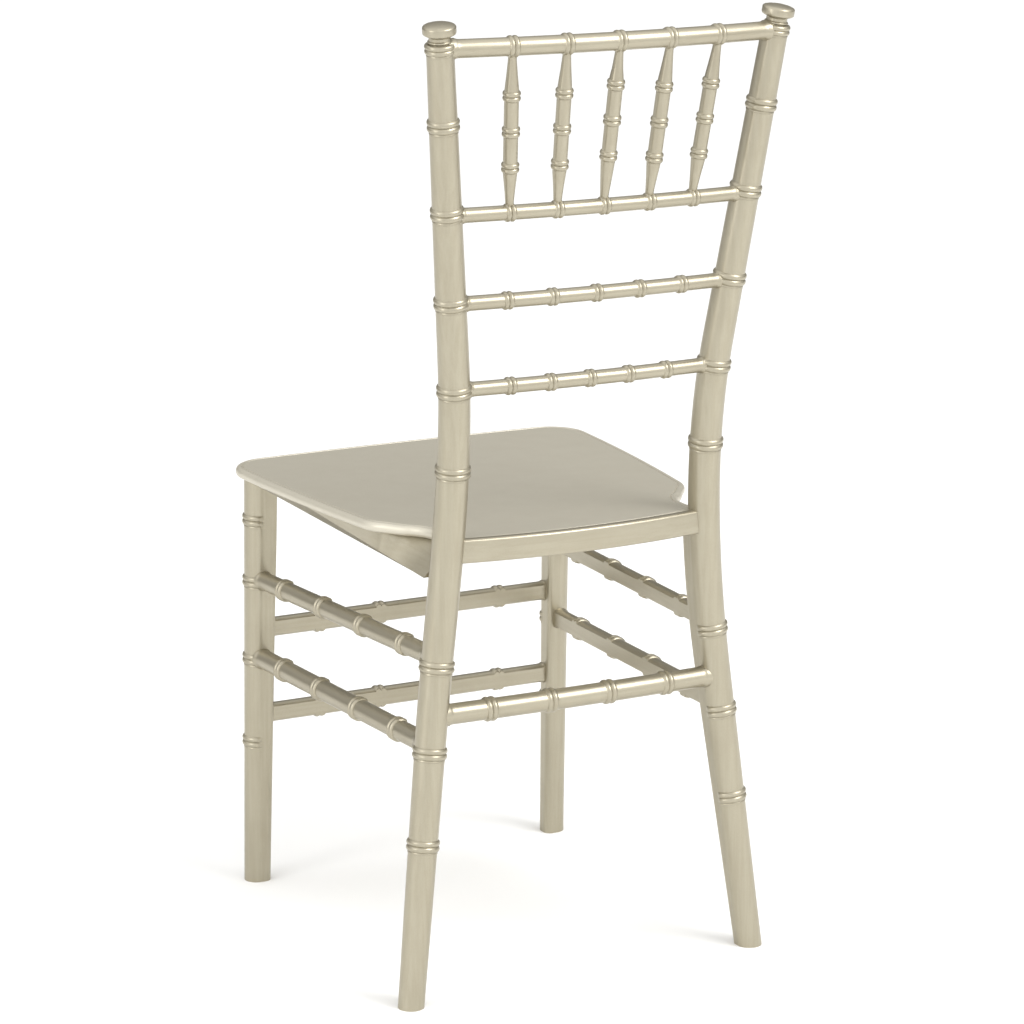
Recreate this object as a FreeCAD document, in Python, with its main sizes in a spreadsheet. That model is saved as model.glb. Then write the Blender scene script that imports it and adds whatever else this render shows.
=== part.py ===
import FreeCAD, Part
import math
import os

import Sketcher
from FreeCAD import Placement, Rotation, Vector

# Chiavari chair, millimetres: +Z up, front towards -Y, the sitter's left towards +X
# The origin is on the floor, under the middle of the box that holds the chair
os.makedirs("parts", exist_ok=True)
doc = FreeCAD.newDocument("ChiavariChair")
sheet = doc.addObject("Spreadsheet::Sheet", "Sizes")

# Driving dimensions. Leans are sideways or fore-and-aft travel per unit of height
SIZES = {
    # rear posts: two straight lengths joined by a long compound bend
    "bend_top_height": 600.0,
    "bend_top_x": 135.4,
    "bend_top_y": 170.3,
    "bend_foot_height": 256.8,
    "bend_foot_x": 150.34,
    "bend_foot_y": 151.9,
    "back_splay": 0.1092,
    "back_rake": 0.1396,
    "rear_leg_splay": 0.1166,
    "rear_leg_rake": 0.0627,
    "post_top_height": 890.4,
    "post_top_radius": 12.1,
    "post_bend_top_radius": 14.25,
    "post_seat_radius": 15.0,
    "post_bend_foot_radius": 14.5,
    "post_foot_radius": 12.25,
    "corner_flat_share": 0.995,
    # front legs
    "front_foot_x": 168.7,
    "front_foot_y": -219.1,
    "front_leg_splay": 0.0084,
    "front_leg_rake": 0.0338,
    "front_leg_top_radius": 14.3,
    "front_leg_foot_radius": 12.4,
    "leg_tenon_radius": 7.0,
    "leg_tenon_length": 5.0,
    # turned double beads
    "bead_height": 1.9,
    "bead_crest": 2.65,
    "bead_root": 6.6,
    "bead_groove": 0.4,
    "bead_sink": 1.0,
    "slim_bead_height": 1.6,
    "slim_bead_crest": 2.2,
    "slim_bead_root": 5.8,
    # finials
    "finial_cap_radius": 14.8,
    "finial_cap_side": 7.6,
    "finial_cap_edge": 1.3,
    "finial_dome": 2.6,
    "finial_neck_radius": 9.7,
    "finial_collar_radius": 10.9,
    "finial_neck_height": 4.0,
    "finial_bevel": 2.2,
    "finial_spigot_radius": 4.0,
    "finial_spigot_length": 14.0,
    # back rails, bowed rearwards
    "top_rail_height": 883.8,
    "top_rail_radius": 8.2,
    "top_rail_bow": 15.0,
    "top_rail_pitch": 50.4,
    "spindle_rail_height": 735.5,
    "spindle_rail_bow": 9.0,
    "spindle_rail_pitch": 46.2,
    "upper_rail_height": 654.8,
    "upper_rail_bow": 7.0,
    "upper_rail_pitch": 44.1,
    "lower_rail_height": 574.7,
    "lower_rail_bow": 6.4,
    "lower_rail_pitch": 39.8,
    "back_rail_radius": 6.7,
    # spindles
    "spindle_radius": 6.5,
    "spindle_waist_radius": 4.6,
    "spindle_end_radius": 3.7,
    "spindle_pitch": 32.6,
    "spindle_ring_height": 808.5,
    "centre_spindle_lift": 5.0,
    "spindle_taper_end": 14.0,
    "spindle_seat_depth": 4.5,
    # seat panel
    "seat_height": 434.0,
    "seat_thickness": 10.0,
    "seat_edge_round": 4.6,
    "seat_front_y": -234.7,
    "seat_front_bow": 3.3,
    "seat_half_width": 191.5,
    "seat_corner_radius": 40.0,
    "seat_rear_half_width": 170.0,
    "seat_side_bulge": 3.0,
    "seat_tip_y": 43.6,
    "seat_tip_turn_in": 11.0,
    "seat_tip_turn_length": 25.0,
    "seat_knee_share": 0.42,
    "seat_knee_reach": 32.0,
    "seat_waist_half_width": 129.5,
    "seat_waist_y": 118.6,
    "seat_rear_bow": 14.0,
    # aprons under the seat edge
    "rear_apron_height": 22.0,
    "rear_apron_thickness": 10.0,
    "rear_apron_rise": 1.0,
    "rear_apron_setback": 3.0,
    "rear_apron_round": 3.0,
    "front_apron_height": 22.0,
    "front_apron_thickness": 12.0,
    "side_apron_height": 24.0,
    "side_apron_thickness": 6.0,
    "side_apron_inset": 6.5,
    "side_apron_length": 200.0,
    "side_apron_thin_edge": 1.0,
    "apron_tenon_width": 6.0,
    "apron_tenon_height": 12.0,
    # stretchers
    "stretcher_radius": 9.7,
    "slim_stretcher_radius": 9.0,
    "stretcher_flat": 0.7,
    "upper_side_front_height": 317.0,
    "upper_side_rear_height": 324.0,
    "lower_side_front_height": 236.3,
    "lower_side_rear_height": 243.3,
    "side_ring_pitch": 79.8,
    "upper_front_height": 265.0,
    "lower_front_height": 175.7,
    "front_ring_pitch": 67.2,
    "rear_stretcher_height": 270.2,
    "rear_stretcher_bow": 3.6,
    "rear_ring_pitch": 61.4,
    # joints
    "rail_tenon_radius": 4.5,
    "stretcher_tenon_radius": 5.5,
    "tenon_tip": 5.5,
    "tenon_root": 26.0,
    "fit_gap": 0.15,
    # corner blocks, their fasteners and the foot glides
    "corner_block_size": 46.0,
    "corner_block_height": 18.0,
    "screw_setback": 18.3,
    "seat_screw_radius": 2.0,
    "seat_screw_length": 24.0,
    "leg_bolt_radius": 2.5,
    "leg_bolt_length": 30.0,
    "screw_head_radius": 4.2,
    "screw_head_height": 2.6,
    "glide_radius": 7.0,
    "glide_stem_radius": 2.5,
    "glide_thickness": 2.5,
    "glide_stem_length": 9.0,
}
POST_RINGS = (885.0, 817.5, 738.7, 656.9, 575.0, 499.5, 317.3, 237.2, 151.8)
LEG_RINGS = (378.7, 315.9, 235.5, 149.4)
BEND_SECTIONS = 6

for row, (alias, value) in enumerate(SIZES.items(), start=1):
    sheet.set(f"A{row}", alias)
    sheet.set(f"B{row}", str(value))
    sheet.setAlias(f"B{row}", alias)
doc.recompute()


def size(alias):
    return float(sheet.get(alias))


def cell(alias):
    return "Sizes." + alias


def bind(thing, prop, expression):
    thing.setExpression(prop, expression)


# Centrelines of the upright members
def upper_line(z):
    rise = z - size("bend_top_height")
    return Vector(
        size("bend_top_x") + size("back_splay") * rise,
        size("bend_top_y") + size("back_rake") * rise,
        z,
    )


def lower_line(z):
    drop = size("bend_foot_height") - z
    return Vector(
        size("bend_foot_x") + size("rear_leg_splay") * drop,
        size("bend_foot_y") + size("rear_leg_rake") * drop,
        z,
    )


def bend_curve():
    top = size("bend_top_height")
    foot = size("bend_foot_height")
    third = (top - foot) / 3
    curve = Part.BezierCurve()
    curve.setPoles([upper_line(top), upper_line(top - third), lower_line(foot + third), lower_line(foot)])
    return curve


BEND = bend_curve()


def post_point(z):
    if z >= size("bend_top_height"):
        return upper_line(z)
    if z <= size("bend_foot_height"):
        return lower_line(z)
    return BEND.value((size("bend_top_height") - z) / (size("bend_top_height") - size("bend_foot_height")))


def post_axis(z):
    if z >= size("bend_top_height"):
        return (upper_line(z + 1) - upper_line(z)).normalize()
    if z <= size("bend_foot_height"):
        return (lower_line(z + 1) - lower_line(z)).normalize()
    share = (size("bend_top_height") - z) / (size("bend_top_height") - size("bend_foot_height"))
    return BEND.tangent(share)[0] * -1


def post_radius(z):
    stations = (
        (0.0, size("post_foot_radius")),
        (size("bend_foot_height"), size("post_bend_foot_radius")),
        ((size("bend_foot_height") + size("bend_top_height")) / 2, size("post_seat_radius")),
        (size("bend_top_height"), size("post_bend_top_radius")),
        (size("post_top_height"), size("post_top_radius")),
    )
    for (z0, r0), (z1, r1) in zip(stations, stations[1:]):
        if z <= z1:
            return r0 + (r1 - r0) * (z - z0) / (z1 - z0)
    return stations[-1][1]


def leg_point(z):
    return Vector(
        size("front_foot_x") - size("front_leg_splay") * z,
        size("front_foot_y") + size("front_leg_rake") * z,
        z,
    )


def leg_axis(z):
    return (leg_point(z + 1) - leg_point(z)).normalize()


def leg_radius(z):
    share = z / (size("seat_height") - size("seat_thickness"))
    foot = size("front_leg_foot_radius")
    return foot + (size("front_leg_top_radius") - foot) * share


def mirrored(point):
    return Vector(-point.x, point.y, point.z)


# Sketch helpers: every sketch lies on an origin plane of its own body
def origin_plane(body, role):
    return next(f for f in body.Origin.OriginFeatures if f.Role == role)


def new_sketch(body, name, offset=Placement(), role="XY_Plane"):
    sketch = body.newObject("Sketcher::SketchObject", name)
    sketch.AttachmentSupport = [(origin_plane(body, role), "")]
    sketch.MapMode = "FlatFace"
    sketch.AttachmentOffset = offset
    return sketch


def fix_coordinate(sketch, edge, corner, kind, text):
    """Hold one coordinate of a corner at an expression, or on the axis where it is nought."""
    if text == "0":
        axis = -2 if kind == "DistanceX" else -1
        sketch.addConstraint(Sketcher.Constraint("PointOnObject", edge, corner, axis))
        return
    value = float(sheet.evalExpression(text))
    index = sketch.addConstraint(Sketcher.Constraint(kind, edge, corner, value))
    bind(sketch, f"Constraints[{index}]", text)


def polygon(sketch, corners):
    """Closed outline of straight edges through corners given as pairs of expressions."""
    points = [Vector(*(float(sheet.evalExpression(text)) for text in pair), 0) for pair in corners]
    count = len(points)
    for i in range(count):
        sketch.addGeometry(Part.LineSegment(points[i], points[(i + 1) % count]), False)
    for i in range(count):
        sketch.addConstraint(Sketcher.Constraint("Coincident", i, 2, (i + 1) % count, 1))
    for i, (x, y) in enumerate(corners):
        fix_coordinate(sketch, i, 1, "DistanceX", x)
        fix_coordinate(sketch, i, 1, "DistanceY", y)
    return sketch


def circle(sketch, radius, x="0"):
    centre = Vector(float(sheet.evalExpression(x)), 0, 0)
    value = float(sheet.evalExpression(radius))
    sketch.addGeometry(Part.Circle(centre, Vector(0, 0, 1), value), False)
    fix_coordinate(sketch, 0, 3, "DistanceX", x)
    fix_coordinate(sketch, 0, 3, "DistanceY", "0")
    index = sketch.addConstraint(Sketcher.Constraint("Radius", 0, value))
    bind(sketch, f"Constraints[{index}]", radius)
    return sketch


def outline(sketch, edges):
    """Closed outline of given line and arc edges, joined end to end."""
    sketch.addGeometry(edges, False)
    count = len(edges)
    for i in range(count):
        after = (i + 1) % count
        joint = edges[i].EndPoint
        ends = [min((1, 2), key=lambda end: (sketch.getPoint(n, end) - joint).Length) for n in (i, after)]
        sketch.addConstraint(Sketcher.Constraint("Coincident", i, ends[0], after, ends[1]))
    return sketch


# Feature helpers
def feature(body, kind, name, **settings):
    made = body.newObject("PartDesign::" + kind, name)
    for prop, value in settings.items():
        setattr(made, prop, value)
    body.Tip = made
    return made


def turned(body, name, sketch, axis="V_Axis"):
    return feature(body, "Revolution", name, Profile=sketch, ReferenceAxis=(sketch, [axis]), Angle=360)


def loft(body, name, sections, ruled=False):
    return feature(body, "AdditiveLoft", name, Profile=sections[0], Sections=sections[1:], Ruled=ruled)


def new_body(label):
    body = doc.addObject("PartDesign::Body", label)
    body.Label = label
    return body


def across(point, axis):
    """Placement of a sketch that lies square across an axis."""
    return Placement(point, Rotation(Vector(0, 0, 1), axis))


def along(point, axis):
    """Placement of a sketch whose upright axis runs along an axis."""
    return Placement(point, Rotation(Vector(0, 1, 0), axis))


def bead_profile(sketch, radius, kind="bead", upright=True):
    """Section of a double bead: two crowns with a groove between them, rooted a little below the surface."""
    sunk = f"{radius} - {cell('bead_sink')}"
    crown = f"{radius} + {cell(kind + '_height')}"
    groove = f"{radius} + {cell('bead_groove')}"
    crest = cell(kind + "_crest")
    root = cell(kind + "_root")
    corners = [(sunk, f"-{root}"), (crown, f"-{crest}"), (groove, "0"), (crown, crest), (sunk, root)]
    if not upright:
        corners = [(y, x) for x, y in corners]
    return polygon(sketch, corners)


def bead_ring(body, name, point, axis, radius):
    sketch = new_sketch(body, name + "_section", along(point, axis))
    bead_profile(sketch, radius)
    return turned(body, name, sketch)


def tapered_length(body, name, foot, top, foot_radius, top_radius):
    run = top - foot
    sketch = new_sketch(body, name + "_section", along(foot, run))
    length = f"{run.Length:.6f}"
    polygon(sketch, [("0", "0"), (foot_radius, "0"), (top_radius, length), ("0", length)])
    return turned(body, name, sketch)


def corner_section(body, name, point, axis, radius, edge_share, towards_y):
    """Square corner of a leg: flat on the inner side and on the side facing the seat's middle."""
    sketch = new_sketch(body, name, across(point, axis))
    flat = radius * size("corner_flat_share")
    rounding = radius * edge_share
    inner = -flat
    outer = flat * towards_y
    short = flat - rounding
    sign = towards_y
    arc_mid = Vector(-short - rounding * math.sqrt(0.5), sign * (short + rounding * math.sqrt(0.5)), 0)
    corners = [
        Vector(0, 0, 0),
        Vector(inner, 0, 0),
        Vector(inner, sign * short, 0),
        Vector(-short, outer, 0),
        Vector(0, outer, 0),
    ]
    edges = [
        Part.LineSegment(corners[0], corners[1]),
        Part.LineSegment(corners[1], corners[2]),
        Part.Arc(corners[2], arc_mid, corners[3]),
        Part.LineSegment(corners[3], corners[4]),
        Part.LineSegment(corners[4], corners[0]),
    ]
    sketch.addGeometry(edges, False)
    return sketch


# Blanks of the upright members, plain or grown by the fit gap to cope what meets them
BELOW_FLOOR = 6.0
OVER_POST = 5.0


def rear_post_blank(label, grown):
    extra = size("fit_gap") if grown else 0.0
    growth = f" + {cell('fit_gap')}" if grown else ""
    body = new_body(label)
    top = size("post_top_height") + (OVER_POST if grown else 0.0)
    bend_top = size("bend_top_height")
    bend_foot = size("bend_foot_height")
    tapered_length(
        body,
        label + "_lower",
        lower_line(-BELOW_FLOOR),
        lower_line(bend_foot),
        cell("post_foot_radius") + growth,
        cell("post_bend_foot_radius") + growth,
    )
    sections = []
    for i in range(BEND_SECTIONS + 1):
        z = bend_foot + (bend_top - bend_foot) * i / BEND_SECTIONS
        sketch = new_sketch(body, f"{label}_bend_{i}", across(post_point(z), post_axis(z)))
        sections.append(circle(sketch, f"{post_radius(z):.6f}{growth}"))
    loft(body, label + "_bend", sections)
    tapered_length(
        body,
        label + "_upper",
        upper_line(bend_top),
        upper_line(top),
        cell("post_bend_top_radius") + growth,
        cell("post_top_radius") + growth,
    )
    block_top = size("seat_height") - size("seat_thickness")
    heights = [-BELOW_FLOOR, bend_foot]
    heights += [bend_foot + (block_top - bend_foot) * i / 3 for i in (1, 2, 3)]
    shares = [0.6, 0.22, 0.12, 0.08, 0.08]
    squares = []
    for i, (z, share) in enumerate(zip(heights, shares)):
        radius = post_radius(max(z, 0)) + extra
        squares.append(
            corner_section(body, f"{label}_corner_{i}", post_point(z), post_axis(z), radius, share, -1)
        )
    loft(body, label + "_corner_straight", squares[:2], ruled=True)
    loft(body, label + "_corner_bend", squares[1:])
    for i, z in enumerate(POST_RINGS):
        bead_ring(body, f"{label}_ring_{i}", post_point(z), post_axis(z), f"{post_radius(z) + extra:.6f}")
    return body


def front_leg_blank(label, grown):
    extra = size("fit_gap") if grown else 0.0
    growth = f" + {cell('fit_gap')}" if grown else ""
    body = new_body(label)
    top = size("seat_height") - size("seat_thickness")
    tapered_length(
        body,
        label + "_core",
        leg_point(-BELOW_FLOOR),
        leg_point(top + BELOW_FLOOR),
        cell("front_leg_foot_radius") + growth,
        cell("front_leg_top_radius") + growth,
    )
    squares = []
    for i, (z, share) in enumerate(((-BELOW_FLOOR, 0.3), (top + BELOW_FLOOR, 0.1))):
        radius = leg_radius(min(max(z, 0), top)) + extra
        squares.append(
            corner_section(body, f"{label}_corner_{i}", leg_point(z), leg_axis(z), radius, share, 1)
        )
    loft(body, label + "_corner", squares, ruled=True)
    for i, z in enumerate(LEG_RINGS):
        bead_ring(body, f"{label}_ring_{i}", leg_point(z), leg_axis(z), f"{leg_radius(z) + extra:.6f}")
    return body


# Part-level helpers
def mirror(label, source):
    copy = doc.addObject("Part::Mirroring", label)
    copy.Label = label
    copy.Source = source
    copy.Base = Vector(0, 0, 0)
    copy.Normal = Vector(1, 0, 0)
    return copy


def fuse(label, shapes):
    made = doc.addObject("Part::MultiFuse", label)
    made.Label = label
    made.Shapes = shapes
    made.Refine = False
    return made


def cut(label, base, tool):
    made = doc.addObject("Part::Cut", label)
    made.Label = label
    made.Base = base
    made.Tool = tool
    return made


def common(label, base, tool):
    made = doc.addObject("Part::Common", label)
    made.Label = label
    made.Base = base
    made.Tool = tool
    return made


def compound(label, links):
    made = doc.addObject("Part::Compound", label)
    made.Label = label
    made.Links = links
    return made


def rod(name, start, end, radius, growth=0.0):
    """Round rod between two points; growth lengthens it past its end."""
    run = end - start
    made = doc.addObject("Part::Cylinder", name)
    bind(made, "Radius", radius)
    made.Height = run.Length + growth
    made.Placement = across(start, run)
    return made


def box(name, low, high):
    made = doc.addObject("Part::Box", name)
    made.Length = high.x - low.x
    made.Width = high.y - low.y
    made.Height = high.z - low.z
    made.Placement = Placement(low, Rotation())
    return made


finished = []


def finish(made):
    finished.append(made)
    return made


rear_envelope = rear_post_blank("rear_post_envelope", True)
leg_envelope = front_leg_blank("front_leg_envelope", True)
doc.recompute()
rear_envelopes = compound("rear_envelopes", [rear_envelope, mirror("rear_post_envelope_right", rear_envelope)])
leg_envelopes = compound("leg_envelopes", [leg_envelope, mirror("front_leg_envelope_right", leg_envelope)])
doc.recompute()

post_sockets = []
leg_sockets = []


def tenon_joint(name, inside, centre, radius, sockets):
    """A tenon from inside a rail to short of an upright's centre, and its socket a fit gap larger."""
    run = (centre - inside).normalize()
    tip = centre - run * size("tenon_tip")
    tenon = rod(name + "_tenon", inside, tip, cell(radius))
    if sockets is not None:
        hole = rod(name + "_socket", inside, tip, f"{cell(radius)} + {cell('fit_gap')}", size("fit_gap"))
        sockets.append(hole)
    return tenon


# Back rails and rear stretcher: arcs in a level plane, with their beads at even steps
def bowed_rail(label, height, radius, bow, pitch, count, tenon_radius, flat=False, slim=True):
    z = size(height)
    end = post_point(z)
    half_span = end.x
    sweep_radius = (half_span**2 + size(bow) ** 2) / (2 * size(bow))
    reach = math.degrees(math.asin(half_span / sweep_radius))
    step = math.degrees(size(pitch) / sweep_radius)
    span_text = f"{sweep_radius:.6f}"
    body = new_body(label + "_blank")
    body.Placement = Placement(Vector(0, end.y + size(bow) - sweep_radius, z), Rotation())
    section = circle(new_sketch(body, label + "_section", role="YZ_Plane"), cell(radius), span_text)
    feature(
        body,
        "Revolution",
        label + "_bar",
        Profile=section,
        ReferenceAxis=(section, ["V_Axis"]),
        Angle=2 * reach,
        Midplane=True,
    )
    first = (count - 1) / 2 * step
    turn = math.radians(first)
    start = Vector(sweep_radius * math.sin(turn), sweep_radius * math.cos(turn), 0)
    offset = Placement(start, Rotation(Vector(0, 0, 1), -first))
    ring_sketch = new_sketch(body, label + "_ring_section", offset)
    bead_profile(ring_sketch, cell(radius), "slim_bead" if slim else "bead", upright=False)
    ring = turned(body, label + "_ring", ring_sketch, "H_Axis")
    doc.recompute()
    feature(
        body,
        "PolarPattern",
        label + "_rings",
        Originals=[ring],
        Axis=(origin_plane(body, "Z_Axis"), [""]),
        Angle=(count - 1) * step,
        Occurrences=count,
    )
    if flat:
        depth = f"{span_text} - {cell(radius)} * {cell('stretcher_flat')}"
        inner = f"{span_text} - 2 * {cell(radius)}"
        half = f"2 * {cell(radius)}"
        face = new_sketch(body, label + "_flat_section", role="YZ_Plane")
        polygon(face, [(inner, f"-{half}"), (depth, f"-{half}"), (depth, half), (inner, half)])
        feature(
            body,
            "Groove",
            label + "_flat",
            Profile=face,
            ReferenceAxis=(face, ["V_Axis"]),
            Angle=2 * reach + 2,
            Midplane=True,
        )
    coped = cut(label + "_coped", body, rear_envelopes)
    turn = math.asin((half_span - size("tenon_root")) / sweep_radius)
    inside = Vector(
        sweep_radius * math.sin(turn),
        end.y + size(bow) - sweep_radius + sweep_radius * math.cos(turn),
        z,
    )
    left = tenon_joint(label + "_left", inside, end, tenon_radius, post_sockets)
    right = tenon_joint(label + "_right", mirrored(inside), mirrored(end), tenon_radius, None)
    return coped, [left, right], sweep_radius, step


RAILS = {}
for name, prefix, radius in (
    ("top_rail", "top_rail", "top_rail_radius"),
    ("spindle_rail", "spindle_rail", "back_rail_radius"),
    ("upper_back_rail", "upper_rail", "back_rail_radius"),
    ("lower_back_rail", "lower_rail", "back_rail_radius"),
):
    RAILS[name] = bowed_rail(
        name,
        prefix + "_height",
        radius,
        prefix + "_bow",
        prefix + "_pitch",
        5,
        "rail_tenon_radius",
    )

rear = bowed_rail(
    "rear_stretcher",
    "rear_stretcher_height",
    "stretcher_radius",
    "rear_stretcher_bow",
    "rear_ring_pitch",
    4,
    "stretcher_tenon_radius",
    flat=True,
    slim=False,
)
finish(fuse("rear_stretcher", [rear[0], *rear[1]]))


# Spindles: five turned sticks between the top rail and the spindle rail
def rail_station(prefix, steps):
    """Point on a rail's centreline, so many bead steps from the middle."""
    z = size(prefix + "_height")
    end = post_point(z)
    bow = size(prefix + "_bow")
    sweep_radius = (end.x**2 + bow**2) / (2 * bow)
    turn = size(prefix + "_pitch") * steps / sweep_radius
    centre_y = end.y + bow - sweep_radius
    return Vector(sweep_radius * math.sin(turn), centre_y + sweep_radius * math.cos(turn), z)


spindle_sockets = {"top_rail": [], "spindle_rail": []}
for number, steps in enumerate((2, 1, 0, -1, -2), start=1):
    label = f"spindle_{number}"
    head = rail_station("top_rail", steps)
    foot = rail_station("spindle_rail", steps)
    run = (head - foot).normalize()
    head_tip = head - run * (size("top_rail_radius") - size("spindle_seat_depth"))
    foot_tip = foot + run * (size("back_rail_radius") - size("spindle_seat_depth"))
    length = (head_tip - foot_tip).Length
    lift = size("centre_spindle_lift") if steps == 0 else 0.0
    middle = (size("spindle_ring_height") + lift - foot_tip.z) / run.z
    pitch = size("spindle_pitch")
    body = new_body(label)
    body.Placement = Placement(foot_tip, Rotation(Vector(0, 0, 1), run))
    stick = new_sketch(body, label + "_section", role="XZ_Plane")
    polygon(
        stick,
        [
            ("0", "0"),
            (cell("spindle_end_radius"), "0"),
            (cell("spindle_end_radius"), f"{cell('spindle_seat_depth')} + 1"),
            (cell("spindle_waist_radius"), cell("spindle_taper_end")),
            (cell("spindle_radius"), f"{middle:.6f} - {cell('spindle_pitch')}"),
            (cell("spindle_radius"), f"{middle:.6f} + {cell('spindle_pitch')}"),
            (cell("spindle_waist_radius"), f"{length:.6f} - {cell('spindle_taper_end')}"),
            (cell("spindle_end_radius"), f"{length:.6f} - {cell('spindle_seat_depth')} - 1"),
            (cell("spindle_end_radius"), f"{length:.6f}"),
            ("0", f"{length:.6f}"),
        ],
    )
    turned(body, label + "_stick", stick)
    ring_offset = Placement(Vector(0, middle - pitch, 0), Rotation())
    ring_sketch = new_sketch(body, label + "_ring_section", ring_offset, "XZ_Plane")
    bead_profile(ring_sketch, cell("spindle_radius"), "slim_bead")
    ring = turned(body, label + "_ring", ring_sketch)
    doc.recompute()
    feature(
        body,
        "LinearPattern",
        label + "_rings",
        Originals=[ring],
        Direction=(ring_sketch, ["V_Axis"]),
        Length=2 * pitch,
        Occurrences=3,
    )
    finish(body)
    hole = f"{cell('spindle_end_radius')} + {cell('fit_gap')}"
    gap = size("fit_gap")
    reach = size("top_rail_radius") + size("bead_height")
    spindle_sockets["top_rail"].append(rod(label + "_head_hole", head - run * reach, head_tip, hole, gap))
    spindle_sockets["spindle_rail"].append(rod(label + "_foot_hole", foot + run * reach, foot_tip, hole, gap))

for name, (coped, tenons, sweep_radius, step) in RAILS.items():
    if name in spindle_sockets:
        holes = compound(name + "_holes", spindle_sockets[name])
        coped = cut(name + "_drilled", coped, holes)
    finish(fuse(name, [coped, *tenons]))


# Straight stretchers: turned bars with a flat inner face
def straight_stretcher(label, start, end, radius, pitch, inner, cope_start, cope_end, joints, shift=0.0):
    run = end - start
    length = run.Length
    direction = (end - start).normalize()
    body = new_body(label + "_blank")
    body.Placement = Placement(start, Rotation(inner, Vector(), direction, "ZXY"))
    section = circle(new_sketch(body, label + "_section"), cell(radius))
    feature(body, "Pad", label + "_bar", Profile=section, Length=length)
    first = length / 2 + shift - 1.5 * size(pitch)
    ring_offset = Placement(Vector(0, first, 0), Rotation())
    ring_sketch = new_sketch(body, label + "_ring_section", ring_offset, "XZ_Plane")
    bead_profile(ring_sketch, cell(radius))
    ring = turned(body, label + "_ring", ring_sketch)
    doc.recompute()
    feature(
        body,
        "LinearPattern",
        label + "_rings",
        Originals=[ring],
        Direction=(ring_sketch, ["V_Axis"]),
        Length=3 * size(pitch),
        Occurrences=4,
    )
    face = new_sketch(body, label + "_flat_section")
    near = f"{cell(radius)} * {cell('stretcher_flat')}"
    far = f"2 * {cell(radius)}"
    polygon(face, [(near, f"-{far}"), (far, f"-{far}"), (far, far), (near, far)])
    feature(body, "Pocket", label + "_flat", Profile=face, Length=length, Reversed=True)
    coped = cut(label + "_coped", body, cope_start)
    if cope_end is not cope_start:
        coped = cut(label + "_coped_end", coped, cope_end)
    root = size("tenon_root")
    first_tenon = tenon_joint(
        label + "_first", start + direction * root, start, "stretcher_tenon_radius", joints[0]
    )
    second_tenon = tenon_joint(
        label + "_second", end - direction * root, end, "stretcher_tenon_radius", joints[1]
    )
    return fuse(label, [coped, first_tenon, second_tenon])


for name, radius in (("upper", "slim_stretcher_radius"), ("lower", "stretcher_radius")):
    start = leg_point(size(name + "_side_front_height"))
    end = post_point(size(name + "_side_rear_height"))
    left = straight_stretcher(
        name + "_side_stretcher_left",
        start,
        end,
        radius,
        "side_ring_pitch",
        Vector(-1, 0, 0),
        leg_envelope,
        rear_envelope,
        (leg_sockets, post_sockets),
    )
    finish(left)
    finish(mirror(name + "_side_stretcher_right", left))
    across_point = leg_point(size(name + "_front_height"))
    finish(
        straight_stretcher(
            name + "_front_stretcher",
            mirrored(across_point),
            across_point,
            "stretcher_radius",
            "front_ring_pitch",
            Vector(0, 1, 0),
            leg_envelopes,
            leg_envelopes,
            (None, leg_sockets),
        )
    )


# Seat panel: shaped board with a rounded nosing, waisted in front of the posts
seat_top = size("seat_height")
seat_under = seat_top - size("seat_thickness")
seat_post = post_point(seat_under)


def arc(a, b, c):
    return Part.Arc(Vector(*a, 0), Vector(*b, 0), Vector(*c, 0))


def line(a, b):
    return Part.LineSegment(Vector(*a, 0), Vector(*b, 0))


def seat_side(inset):
    """Left half of the seat's outline from the front corner to the posts, moved in by an inset."""
    half = size("seat_half_width") - inset
    rear_half = size("seat_rear_half_width") - inset
    corner = size("seat_corner_radius")
    front = size("seat_front_y") + size("seat_front_bow") + inset
    side_start = front + corner
    tip = size("seat_tip_y")
    waist = size("seat_waist_half_width") - inset
    waist_y = size("seat_waist_y")
    bulge = (half + rear_half) / 2 + size("seat_side_bulge")
    cut_back = corner * (1 - math.sqrt(0.5))
    share = size("seat_knee_share")
    back = inset * 0.4
    knee = (rear_half * share + waist * (1 - share), waist_y - size("seat_knee_reach") - back)
    turn_in = size("seat_tip_turn_in")
    turn_length = size("seat_tip_turn_length")
    shoulder = (rear_half - turn_in, tip + turn_length - back)
    shoulder_middle = (rear_half - 0.32 * turn_in, tip + 0.56 * turn_length - 0.75 * back)
    # the last arc leaves the waist square to the posts
    aside, behind = knee[0] - waist, waist_y - knee[1]
    waist_radius = (aside**2 + behind**2) / (2 * aside)
    half_turn = math.asin(behind / waist_radius) / 2
    waist_middle = (
        waist + waist_radius * (1 - math.cos(half_turn)),
        waist_y - waist_radius * math.sin(half_turn),
    )
    return [
        ((half - corner, front), (half - cut_back, front + cut_back), (half, side_start)),
        ((half, side_start), (bulge, (side_start + tip) / 2), (rear_half, tip)),
        ((rear_half, tip), shoulder_middle, shoulder),
        (shoulder, None, knee),
        (knee, waist_middle, (waist, waist_y)),
    ]


def side_edges(inset):
    edges = []
    for a, b, c in seat_side(inset):
        edges.append(line(a, c) if b is None else arc(a, b, c))
    return edges


def flipped(edges):
    """Mirror image of a run of edges, in the opposite order and sense."""
    made = []
    for edge in reversed(edges):
        a, c = edge.EndPoint, edge.StartPoint
        a, c = mirrored(a), mirrored(c)
        if isinstance(edge, Part.LineSegment):
            made.append(Part.LineSegment(a, c))
        else:
            first, last = edge.FirstParameter, edge.LastParameter
            middle = mirrored(edge.value((first + last) / 2))
            made.append(Part.Arc(a, middle, c))
    return made


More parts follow.
